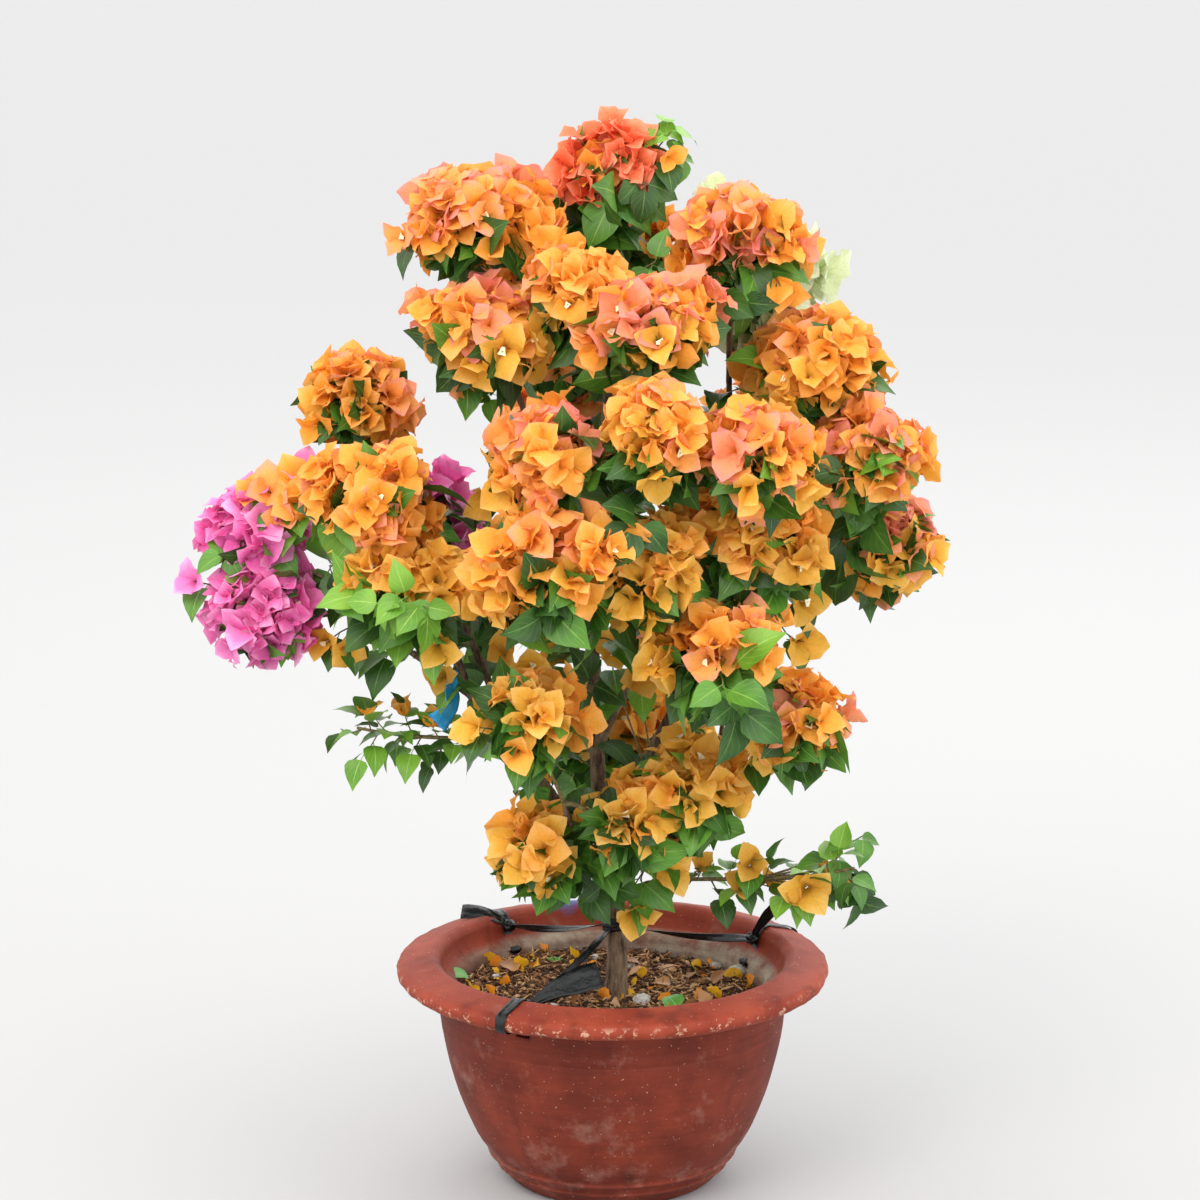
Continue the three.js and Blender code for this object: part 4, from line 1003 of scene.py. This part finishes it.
dress(twigs, grainMaterial("youngTwigBark", "#4E4A2C", "#8A7A52", 5, 0.8, relief=0.4, depth=0.5), "bark")
print("foliage joined")

# pot: thrown clay, painted red, its rings drawn up one by one from the foot
pot = {
    "segments": 288,
    # two thin raised lines run round the foot
    "foot": [(111, 0), (114, 1.6), (117, 4.2), (120.4, 8), (123.6, 11.6), (126.2, 14.2), (128.4, 15.6),
             (129.8, 16.6), (130.2, 17.8), (129.4, 19), (129.8, 20.6), (132.4, 24), (135.2, 27.2),
             (137.6, 28.8), (139.2, 29.8), (139.8, 31), (138.8, 32.4), (138.8, 34.2), (141, 37.8),
             (144.6, 42)],
    "body": [(148, 46.5), (157.4, 64), (175.6, 112), (188.8, 165), (195.2, 221)],
    "grooves": [198, 184], "grooveDepth": 1.0, "grooveHalf": 2.2,
    "nose": (230, 240, 10), "crest": (204, 244, 13), "pittedFrom": 234.5, "pittedBelow": 250.5,
    "inside": [(189.4, 238), (184.5, 231), (178, 225), (173, 221), (171.6, 206), (169.8, 190), (163, 150),
               (155, 112), (134, 63), (96, 22)],
    "slots": {"angles": (-120, 130, 30), "size": (63, 17, 6), "at": 182.5, "level": 215.5},
}


def lipArc(circle, grow, first, last, count):
    r, z, size = circle
    angles = np.radians(np.linspace(first, last, count))
    return [(r + (size + grow) * math.cos(a), z + (size + grow) * math.sin(a)) for a in angles]


def turnedShape(name, profile, segments):
    first = profile[0]
    bpy.ops.mesh.primitive_circle_add(vertices=segments, radius=first[0] * mm, fill_type="TRIFAN",
                                      location=(0, 0, first[1] * mm))
    shape = bpy.context.object
    shape.name = name
    bpy.ops.object.transform_apply(location=True, rotation=False, scale=False)
    bpy.ops.object.mode_set(mode="EDIT")
    pickVertices(shape, lambda p: math.hypot(p.x, p.y) > first[0] * mm * 0.9)
    for (r0, z0), (r1, z1) in zip(profile, profile[1:]):
        bpy.ops.mesh.extrude_region_move(TRANSFORM_OT_translate={"value": (0, 0, (z1 - z0) * mm)})
        bpy.ops.transform.resize(value=(r1 / r0, r1 / r0, 1), center_override=(0, 0, z1 * mm))
    bpy.ops.mesh.merge(type="CENTER")
    bpy.ops.mesh.select_all(action="SELECT")
    bpy.ops.mesh.normals_make_consistent(inside=False)
    bpy.ops.object.mode_set(mode="OBJECT")
    bpy.ops.object.shade_smooth()
    return shape


def bodyProfile():
    line = splinePoints([(r, 0, z) for r, z in pot["body"]], 9)[1:]
    half = pot["grooveHalf"]
    extra = [g + s for g in pot["grooves"] for s in (-half, -half / 2, 0, half / 2, half)]
    levels = sorted(list(line[:, 2]) + extra)
    out = []
    for z in levels:
        r = np.interp(z, line[:, 2], line[:, 0])
        for g in pot["grooves"]:
            r -= pot["grooveDepth"] * max(0, 1 - abs(z - g) / pot["grooveHalf"])
        out.append((r, z))
    return out


profile = (pot["foot"] + bodyProfile() + lipArc(pot["nose"], 0, -96, 82, 15)
           + lipArc(pot["crest"], 0, 92, 176, 10) + pot["inside"])
clay = turnedShape("pot", profile, pot["segments"])
edge = clay.vertex_groups.new(name="lipEdge")
edge.add([v.index for v in clay.data.vertices if math.hypot(v.co.x, v.co.y) > pot["pittedFrom"] * mm
          and v.co.z < pot["pittedBelow"] * mm], 1.0, "REPLACE")
addRelief(clay, "CLOUDS", 130, 2.6)
addRelief(clay, "CLOUDS", 18, 0.7)
addRelief(clay, "CLOUDS", 14, -0.8, group="lipEdge", contrast=4, middle=0.0, bright=0.4)
slots = pot["slots"]
for angle in slots["angles"]:
    turn = math.radians(angle)
    bpy.ops.mesh.primitive_cube_add(
        size=mm, rotation=(0, 0, turn),
        location=(slots["at"] * mm * math.cos(turn), slots["at"] * mm * math.sin(turn), slots["level"] * mm),
    )
    cutter = bpy.context.object
    cutter.scale = slots["size"]
    applyModifier(clay, "BOOLEAN", object=cutter, operation="DIFFERENCE")
    bpy.data.objects.remove(cutter)

# Earthenware under red oxide paint: brushed round, dull, with lime bloom, damp stains and chips down to clay.
# the lip colours are lighter than the body's: partly painted light, partly fresher paint
paint = {
    "roughness": 0.62, "lipFrom": 0.224, "dark": "#5E2418", "mid": "#7A3222", "lipDark": "#7E3020",
    "lip": "#96402B", "damp": "#3A140D", "bloom": "#A98274", "speck": "#B99A86", "bareClay": "#C09078",
    "crustDark": "#6E5E4C", "crust": "#C4B8A4", "splash": "#34609C", "splashAt": (-0.066, 0.214, 0.25),
}


# the coats lie one over the other, each a share and a colour
def paintedClay():
    material, tree = newMaterial("redPaintedEarthenware")
    place = addNode(tree, "TexCoord").outputs["Object"]
    split = addNode(tree, "SeparateXYZ", {"Vector": place})
    flat = addNode(tree, "CombineXYZ", {"X": split.outputs["X"], "Y": split.outputs["Y"]})
    radius = addNode(tree, "VectorMath", {0: flat}, operation="LENGTH").outputs["Value"]
    z = split.outputs["Z"]
    # blotches 70 mm wide, and brush marks that run round the pot
    blotches = addNode(tree, "TexNoise", {"Vector": place, "Scale": 15.0, "Detail": 4.0, "Roughness": 0.6})
    streakPlace = addNode(tree, "Mapping", {"Vector": place, "Scale": (8, 8, 140)})
    streaks = addNode(tree, "TexNoise", {"Vector": streakPlace, "Scale": 1.0, "Detail": 5.0,
                                         "Roughness": 0.6})
    share = addNode(tree, "Math", {0: streaks, 1: 0.3, 2: blotches}, operation="MULTIPLY_ADD")
    share = addNode(tree, "MapRange", {"Value": share, "From Min": 0.50, "From Max": 0.82})
    mixed = []
    for part, dark, light in ((share, "dark", "mid"), (share, "lipDark", "lip"),
                              (streaks, "crustDark", "crust")):
        tone = addNode(tree, "Mix", {0: part, 6: linear(paint[dark]), 7: linear(paint[light])},
                       data_type="RGBA")
        mixed.append(tone.outputs[2])
    body, lip, crustTone = mixed
    # the lip is painted lighter: partly painted light on its raised edge, partly fresher paint
    atLip = addNode(tree, "MapRange", {"Value": z, "From Min": paint["lipFrom"],
                                       "From Max": paint["lipFrom"] + 0.006})
    # damp runs down the wall
    runPlace = addNode(tree, "Mapping", {"Vector": place, "Scale": (26, 26, 3)})
    runs = addNode(tree, "TexNoise", {"Vector": runPlace, "Scale": 1.0, "Detail": 3.0})
    runs = addNode(tree, "MapRange", {"Value": runs, "From Min": 0.56, "From Max": 0.72, "To Max": 0.5})
    # lime bloom in clouds, more of it low on the wall
    bloomPlace = addNode(tree, "Mapping", {"Vector": place, "Location": (3.1, 1.7, 0.4)})
    bloom = addNode(tree, "TexNoise", {"Vector": bloomPlace, "Scale": 17.0, "Detail": 7.0, "Roughness": 0.68})
    low = addNode(tree, "MapRange", {"Value": z, "From Min": 0.03, "From Max": 0.22,
                                     "To Min": 0.05, "To Max": -0.03})
    bloom = addNode(tree, "Math", {0: bloom, 1: low}, operation="ADD")
    bloom = addNode(tree, "MapRange", {"Value": bloom, "From Min": 0.56, "From Max": 0.74, "To Max": 0.42})
    # pale specks 1 to 2 mm wide
    specks = addNode(tree, "TexNoise", {"Vector": place, "Scale": 330.0, "Detail": 1.0})
    specks = addNode(tree, "MapRange", {"Value": specks, "From Min": 0.735, "From Max": 0.77, "To Max": 0.75})
    # chipped edge of the lip, pale where the paint is gone
    outer = addNode(tree, "MapRange", {"Value": radius, "From Min": 0.2335, "From Max": 0.238})
    under = addNode(tree, "MapRange", {"Value": z, "From Min": 0.247, "From Max": 0.240})
    rim = addNode(tree, "Math", {0: outer, 1: under}, operation="MULTIPLY")
    chips = addNode(tree, "TexNoise", {"Vector": place, "Scale": 95.0, "Detail": 5.0, "Roughness": 0.7})
    chips = addNode(tree, "MapRange", {"Value": chips, "From Min": 0.56, "From Max": 0.62})
    chips = addNode(tree, "Math", {0: chips, 1: rim}, operation="MULTIPLY")
    # a crust of lime on the inner wall, over the mulch, thick on the far side and thinner to the left
    crust = addNode(tree, "TexNoise", {"Vector": place, "Scale": 34.0, "Detail": 6.0, "Roughness": 0.7})
    crust = addNode(tree, "MapRange", {"Value": crust, "From Min": 0.36, "From Max": 0.60, "To Min": 0.25})
    inner = addNode(tree, "MapRange", {"Value": radius, "From Min": 0.186, "From Max": 0.180})
    above = addNode(tree, "MapRange", {"Value": z, "From Min": 0.192, "From Max": 0.199})
    facing = addNode(tree, "VectorMath", {0: flat, 1: (0.6, 0.8, 0)}, operation="DOT_PRODUCT")
    facing = addNode(tree, "MapRange", {"Value": facing.outputs["Value"], "From Min": -0.08,
                                        "From Max": 0.10, "To Min": 0.15})
    for limit in (inner, above, facing):
        crust = addNode(tree, "Math", {0: crust, 1: limit}, operation="MULTIPLY")
    # an old splash of blue paint on the far side of the lip
    splash = addNode(tree, "VectorMath", {0: place, 1: paint["splashAt"]}, operation="DISTANCE")
    splash = addNode(tree, "Math", {0: blotches, 1: 0.03, 2: splash.outputs["Value"]},
                     operation="MULTIPLY_ADD")
    splash = addNode(tree, "MapRange", {"Value": splash, "From Min": 0.049, "From Max": 0.042,
                                        "To Max": 0.85})
    colour = body
    for share, coat in ((atLip, lip), (runs, linear(paint["damp"])), (bloom, linear(paint["bloom"])),
                        (specks, linear(paint["speck"])), (chips, linear(paint["bareClay"])),
                        (crust, crustTone), (splash, linear(paint["splash"]))):
        colour = addNode(tree, "Mix", {0: share, 6: colour, 7: coat}, data_type="RGBA").outputs[2]
    grit = addNode(tree, "TexNoise", {"Vector": place, "Scale": 420.0, "Detail": 4.0})
    bump = addNode(tree, "Bump", {"Height": grit, "Strength": 0.35, "Distance": 0.0008})
    bump = addNode(tree, "Bump", {"Height": streaks, "Strength": 0.3, "Distance": 0.0012, "Normal": bump})
    surface = addNode(tree, "BsdfPrincipled", {"Base Color": colour, "Roughness": paint["roughness"],
                                               "Specular IOR Level": 0.18, "Normal": bump})
    addNode(tree, "OutputMaterial", {"Surface": surface})
    return material


dress(clay, paintedClay(), "clay", "pot")
print("pot", len(clay.data.polygons))

# potting mix under a mulch of bark slivers, with what has fallen on it
mulch = {"slivers": 4600, "radius": 165, "top": soilHeight, "levelAt": 40, "tilt": 2.4,
         "fallen": 46, "dry": 4}


# the mix stands a little higher on the left
def mulchHeight(x):
    return mulch["top"] + (mulch["levelAt"] - x) * math.tan(math.radians(mulch["tilt"]))


bed = turnedShape("soil", [(166, 188), (169.6, 196), (170, 201.5)]
                  + [(r, mulch["top"] - 4 * (r / 168) ** 6) for r in range(168, 4, -4)], 120)
bed.location = (0, 0, mulch["levelAt"] * math.tan(math.radians(mulch["tilt"])) * mm)
bed.rotation_euler = (0, math.radians(mulch["tilt"]), 0)
bpy.context.view_layer.update()
bpy.ops.object.transform_apply(location=True, rotation=True, scale=False)
addRelief(bed, "CLOUDS", 34, 5)
addRelief(bed, "CLOUDS", 8, 2.4)
dress(bed, grainMaterial("dampPottingMix", "#1E140D", "#4E3524", 5, 0.95, relief=1.0, depth=2),
      "potting_mix", "soil")


def sliverShape(length, width, thickness, bend):
    bpy.ops.mesh.primitive_cube_add(size=mm)
    sliver = bpy.context.object
    sliver.scale = (length / 3, width, thickness)
    bpy.ops.object.transform_apply(location=False, rotation=False, scale=True)
    bpy.ops.object.mode_set(mode="EDIT")
    for side in (1, -1):
        pickVertices(sliver, lambda p: p.x * side > length / 6 * mm * 0.9)
        bpy.ops.mesh.extrude_region_move(
            TRANSFORM_OT_translate={"value": (side * length / 3 * mm, side * bend * mm, -bend * 0.6 * mm)})
        bpy.ops.transform.resize(value=(1, 0.45, 0.6), center_override=(side * length / 2 * mm, 0, 0))
    bpy.ops.object.mode_set(mode="OBJECT")
    return takeArrays(sliver)


slivers = [sliverShape(15, 2.2, 1.3, 1.8), sliverShape(23, 1.3, 1.0, 3.2), sliverShape(9, 4.2, 2.0, 0.5),
           sliverShape(13, 1.6, 1.2, -2.0)]
draw = np.random.default_rng(21)


def onMulch(draw, reach, tilt, size, lift=0.0):
    radius, angle = reach * math.sqrt(draw.random()), draw.uniform(0, 2 * math.pi)
    root = np.array([radius * math.cos(angle), radius * math.sin(angle), 0])
    root[2] = mulchHeight(root[0]) + lift
    axis = unit(up + draw.uniform(-tilt, tilt, 3))
    return axisPlace(root, axis, draw.uniform(0, 2 * math.pi), size)


mulchTones = {"darkMulch": ("#2A1A10", "#5A3A22", 0.42), "redMulch": ("#64402A", "#9C6C44", 0.33),
              "paleMulch": ("#94724C", "#CCA676", 0.25)}
for tone, (dark, light, share) in mulchTones.items():
    kinds = [[onMulch(draw, mulch["radius"], 0.5, draw.uniform(0.5, 1.3), draw.uniform(-1.5, 3.5))
              for _ in range(int(mulch["slivers"] * share / len(slivers)))] for _ in slivers]
    piece = joinedCopies(tone, list(zip(slivers, kinds)))
    dress(piece, grainMaterial(tone + "Bark", dark, light, 3, 0.9, relief=0.6), "potting_mix")

# fallen bracts: first at the places where they lie together, and the rest strewn between
fallenAt = [(-97, 79), (-88, 84), (-104, 74), (-19, 71), (-28, 66), (6, -15), (0, -18), (12, -12), (157, 60),
            (154, 44), (150, 30), (148, 72), (102, 2), (120, -15), (55, 25), (68, -26), (-150, 96),
            (-34, 118), (-16, -15), (54, -65), (21, 31), (-124, 77), (-85, 139), (62, 20), (74, -31),
            (-112, 70)]
kinds = {"gold": [[] for _ in bractBlades], "brightOrange": [[] for _ in bractBlades]}
for i in range(mulch["fallen"]):
    if i < len(fallenAt):
        root = np.array([fallenAt[i][0], fallenAt[i][1], mulchHeight(fallenAt[i][0]) + 4.5])
        lean = unit(draw.uniform(-1, 1, 3) * (1, 1, 0.4))
        place = axisPlace(root, lean, draw.uniform(0, 6.3), draw.uniform(0.34, 0.56))
    else:
        place = onMulch(draw, 160, 1.6, draw.uniform(0.24, 0.4), 3.5)
    kinds["gold" if i % 3 else "brightOrange"][i % len(bractBlades)].append(place)
for tone, (throat, body, margin) in {"gold": ("#B98418", "#E8B024", "#F0C040"),
                                     "brightOrange": ("#C87818", "#E88E24", "#EEA040")}.items():
    piece = joinedCopies(tone + "Fallen", list(zip(bractBlades, kinds[tone])))
    dress(piece, bractMaterial(tone + "FallenPaper", throat, body, margin), "gold_bracts")
dryPlaces = [[onMulch(draw, 150, 0.9, draw.uniform(0.35, 0.55), 3.0) for _ in range(mulch["dry"])]
             for _ in leafBlades]
dryPlaces[0].append(axisPlace(np.array([53, 106, 212]), unit(up + np.array([0.3, -0.4, 0])), 2.2, 0.75))
dry = joinedCopies("dryLeaves", list(zip(leafBlades, dryPlaces)))
dress(dry, leafMaterial("dryLeafSkin", "#8A5A2E", "#C89662", "#B07A44"), "leaves")
freshAt = [((-158, 31), (0.3, -0.2, 0), 0.4), ((73, -66), (-0.1, -0.5, 0), 5.1),
           ((-58, 124), (0.2, -0.5, 0), 1.3)]
freshPlaces = [[axisPlace(np.array([x, y, mulchHeight(x) + 4]), unit(up + np.array(lean)), turn, 0.62)]
               for (x, y), lean, turn in freshAt]
fresh = joinedCopies("fallenLeaves", list(zip(leafBlades, freshPlaces)))
dress(fresh, leafMaterial("fallenLeafSkin", "#3E7A2A", "#6CB044", "#8CC464"), "leaves")

# pale stones: x, y and size
stones = [(32, -31, 11), (142, 90, 12), (118, 112, 7), (-64, -60, 5), (88, -88, 5), (-132, 40, 5),
          (20, 96, 6), (-20, 128, 5), (96, 60, 4)]
bpy.ops.mesh.primitive_ico_sphere_add(subdivisions=3, radius=mm)
pebble = bpy.context.object
pebble.name = "pebble"
pebble.scale = (1.0, 0.8, 0.62)
bpy.ops.object.transform_apply(location=False, rotation=False, scale=True)
addRelief(pebble, "CLOUDS", 0.9, 0.55)
pebbleShape = takeArrays(pebble)
pebblePlaces = []
for x, y, size in stones:
    root = np.array([x, y, mulchHeight(x) + size * 0.35])
    lean = unit(up + draw.uniform(-0.4, 0.4, 3))
    pebblePlaces.append(axisPlace(root, lean, draw.uniform(0, 6), size))
piece = joinedCopies("paleStones", [(pebbleShape, pebblePlaces)])
dress(piece, grainMaterial("paleLimeStone", "#8E8A80", "#C8C6BE", 6, 0.85, relief=0.5), "potting_mix")
print("potting mix laid")

# strips of black polythene film, stretched, knotted and creased, and the blue ribbon
film = {
    "width": 13, "gap": 1.9, "thickness": 0.5, "columns": 8, "knot": 7.2, "knotInset": 6.5, "collar": 291,
    "sag": 5, "twist": 3.4, "strandWidths": (12, 8), "tailRoot": 6,
    "woundRadius": 12.8, "woundTurns": 2, "woundRise": 9,
}
guys = [
    {"name": "tie_front", "angle": -120, "tail": (78, 38, 24), "tailWidth": 30, "loops": True,
     "tailSide": (-0.25, 0.55, 0.8)},
    {"name": "tie_left", "angle": 130, "tail": (-55, 6, 16), "tailWidth": 22, "loops": False,
     "tailSide": (-0.1, 0.8, 0.5)},
    {"name": "tie_right", "angle": 30, "tail": (34, -14, 46), "tailWidth": 17, "loops": False,
     "tailSide": (0.8, 0.3, -0.4)},
]


# a strip of film along the points, pleated by crease mm
def stripMesh(name, points, sides, widths, draw, crease, closed=False):
    points, sides = np.array(points, float), np.array(sides, float)
    count, columns = len(points), film["columns"]
    following = np.roll(points, -1, 0) if closed else np.vstack([points[1:], 2 * points[-1] - points[-2]])
    preceding = np.roll(points, 1, 0) if closed else np.vstack([2 * points[0] - points[1], points[:-1]])
    along = (following - preceding) / np.linalg.norm(following - preceding, axis=1)[:, None]
    sides = sides - along * (sides * along).sum(1)[:, None]
    sides /= np.linalg.norm(sides, axis=1)[:, None]
    faces = np.cross(sides, along)
    # folds run along the strip and wander a little
    pleats = draw.uniform(-1, 1, columns + 1)
    verts = []
    for i in range(count):
        pleats = 0.82 * pleats + 0.4 * draw.uniform(-1, 1, columns + 1)
        for j in range(columns + 1):
            across = (j / columns - 0.5) * widths[i]
            verts.append((points[i] + sides[i] * across + faces[i] * pleats[j] * crease) * mm)
    rings = count if closed else count - 1
    stride = columns + 1
    quads = []
    for i in range(rings):
        here, there = i * stride, (i + 1) % count * stride
        quads += [(here + j, here + j + 1, there + j + 1, there + j) for j in range(columns)]
    mesh = bpy.data.meshes.new(name)
    mesh.from_pydata([tuple(v) for v in verts], [], quads)
    obj = addObject(name, mesh)
    applyModifier(obj, "SOLIDIFY", thickness=film["thickness"] * mm, offset=0)
    bpy.ops.object.shade_smooth()
    return obj


def foldedKnot(name, centre, size):
    bpy.ops.mesh.primitive_ico_sphere_add(subdivisions=4, radius=size * mm, location=centre * mm)
    knot = bpy.context.object
    knot.name = name
    bpy.ops.object.transform_apply(location=True, rotation=False, scale=False)
    addRelief(knot, "STUCCI", 4, 3.4)
    addRelief(knot, "CLOUDS", 9, 3.0)
    setOnly(knot)
    bpy.ops.object.shade_smooth()
    return knot


def joinPieces(name, pieces):
    bpy.ops.object.select_all(action="DESELECT")
    for piece in pieces:
        piece.select_set(True)
    bpy.context.view_layer.objects.active = pieces[0]
    bpy.ops.object.join()
    pieces[0].name = name
    return pieces[0]


# Polythene film: half glossy where it is stretched smooth, and grey where it is creased, which is dust
# together with a painted sheen.
def filmMaterial(name, colour, dustAndSheenTone, roughness):
    material, tree = newMaterial(name)
    place = addNode(tree, "TexCoord")
    creases = addNode(tree, "TexNoise", {"Vector": place.outputs["Object"], "Scale": 120.0, "Detail": 4.0,
                                         "Distortion": 1.2})
    # lighter grey in the creases: dust, and painted sheen
    dustAndSheen = addNode(tree, "MapRange", {"Value": creases, "From Min": 0.48, "From Max": 0.75, "To Max": 0.6})
    base = addNode(tree, "Mix", {0: dustAndSheen, 6: linear(colour), 7: linear(dustAndSheenTone)}, data_type="RGBA")
    dull = addNode(tree, "MapRange", {"Value": creases, "To Min": roughness - 0.08,
                                      "To Max": roughness + 0.2})
    bump = addNode(tree, "Bump", {"Height": creases, "Strength": 0.7, "Distance": 0.0014})
    surface = addNode(tree, "BsdfPrincipled", {"Base Color": base.outputs[2], "Roughness": dull,
                                               "IOR": 1.4, "Normal": bump})
    addNode(tree, "OutputMaterial", {"Surface": surface})
    return material


# the second colour of each film is its dust together with a painted sheen
blackFilm = filmMaterial("blackPolytheneFilm", "#050607", "#191F23", 0.3)
blueFilm = filmMaterial("bluePolytheneRibbon", "#2A98D2", "#6CC2E8", 0.32)
draw = np.random.default_rng(5)
collarShare = (film["collar"] - trunk["foot"]) / trunk["route"][-1][2]
collarAt = pointAt(limbs["trunk"], collarShare)
for guy in guys:
    turn = math.radians(guy["angle"])
    radial = np.array([math.cos(turn), math.sin(turn), 0])
    across = np.array([-math.sin(turn), math.cos(turn), 0])
    # the band starts under the lip, runs over it and down inside, and comes back through the slot
    inner, outer = 172 - film["gap"], 193 + film["gap"] + 0.6
    loop = ([(outer, 216.5), (outer + 1, 222), (outer + 10, 227)]
            + lipArc(pot["nose"], film["gap"], -70, 82, 10) + lipArc(pot["crest"], film["gap"], 92, 176, 7)
            + [(186, 231), (178, 224), (inner + 0.6, 220), (inner + 0.6, 215.5)]
            + [(r, 215.5) for r in range(176, 193, 5)])
    points = [radial * r + up * z for r, z in loop]
    band = stripMesh("band", points, [across] * len(points),
                     [film["width"] * (0.86 + 0.2 * draw.random()) for _ in points], draw, 0.5, closed=True)
    inset = pot["crest"][0] - pot["crest"][2] - 1.1 - film["knotInset"]
    knotAt = radial * inset + up * (pot["crest"][1] + 1)
    pieces = [band, foldedKnot("knot", knotAt, film["knot"])]
    # the stretched strip from the knot to the trunk, with a twist in it
    shares = np.linspace(0, 1, 34)
    bow = [film["sag"] * math.sin(math.pi * s) for s in shares]
    strand = [knotAt + (collarAt - knotAt) * s - up * b for s, b in zip(shares, bow)]
    angles = [film["twist"] * s + 0.4 for s in shares]
    turned = [across * math.cos(a) + up * math.sin(a) for a in angles]
    wide, narrow = film["strandWidths"]
    widths = [wide - (wide - narrow) * math.sin(math.pi * s) for s in shares]
    pieces.append(stripMesh("strand", strand, turned, widths, draw, 0.7))
    # the loose end, wide and torn
    shares = np.linspace(0, 1, 16)
    reach = np.array(guy["tail"])
    tail = [knotAt + reach * s + up * film["sag"] * math.sin(math.pi * s) for s in shares]
    widths = [film["tailRoot"] + (guy["tailWidth"] - film["tailRoot"]) * min(1, 1.6 * s) for s in shares]
    pieces.append(stripMesh("tail", tail, [guy["tailSide"]] * len(tail), widths, draw, 2.2))
    if guy["loops"]:
        radius, rise = film["woundRadius"], film["woundRise"]
        shares = np.linspace(0, 1, 96)
        wound = [collarAt + np.array([radius * math.cos(a), radius * math.sin(a), rise * s - rise / 2])
                 for a, s in zip(shares * 2 * film["woundTurns"] * math.pi, shares)]
        widths = [9 + 2 * draw.random() for _ in wound]
        pieces.append(stripMesh("wound", wound, [up] * len(wound), widths, draw, 0.7))
    piece = joinPieces(guy["name"] + "Film", pieces)
    dress(piece, blackFilm, "film", guy["name"])

ribbon = {"limb": "bough_left", "share": 0.95, "reach": (-24, -8, -56), "sway": (-5, -3, 0),
          "widths": (12, 29)}
top = pointAt(limbs[ribbon["limb"]], ribbon["share"])
shares = np.linspace(0, 1, 22)
reach, sway = np.array(ribbon["reach"]), np.array(ribbon["sway"])
hang = [top + reach * s + sway * math.sin(2.2 * math.pi * s) for s in shares]
sides = [np.array([1.0, 0.3 + 0.9 * math.sin(3 * s), 0.1]) for s in shares]
first, last = ribbon["widths"]
widths = [first + (last - first) * s ** 0.8 for s in shares]
piece = stripMesh("blueRibbon", hang, sides, widths, draw, 1.8)
dress(piece, blueFilm, "ribbon", "ribbon")
print("film and ribbon tied")
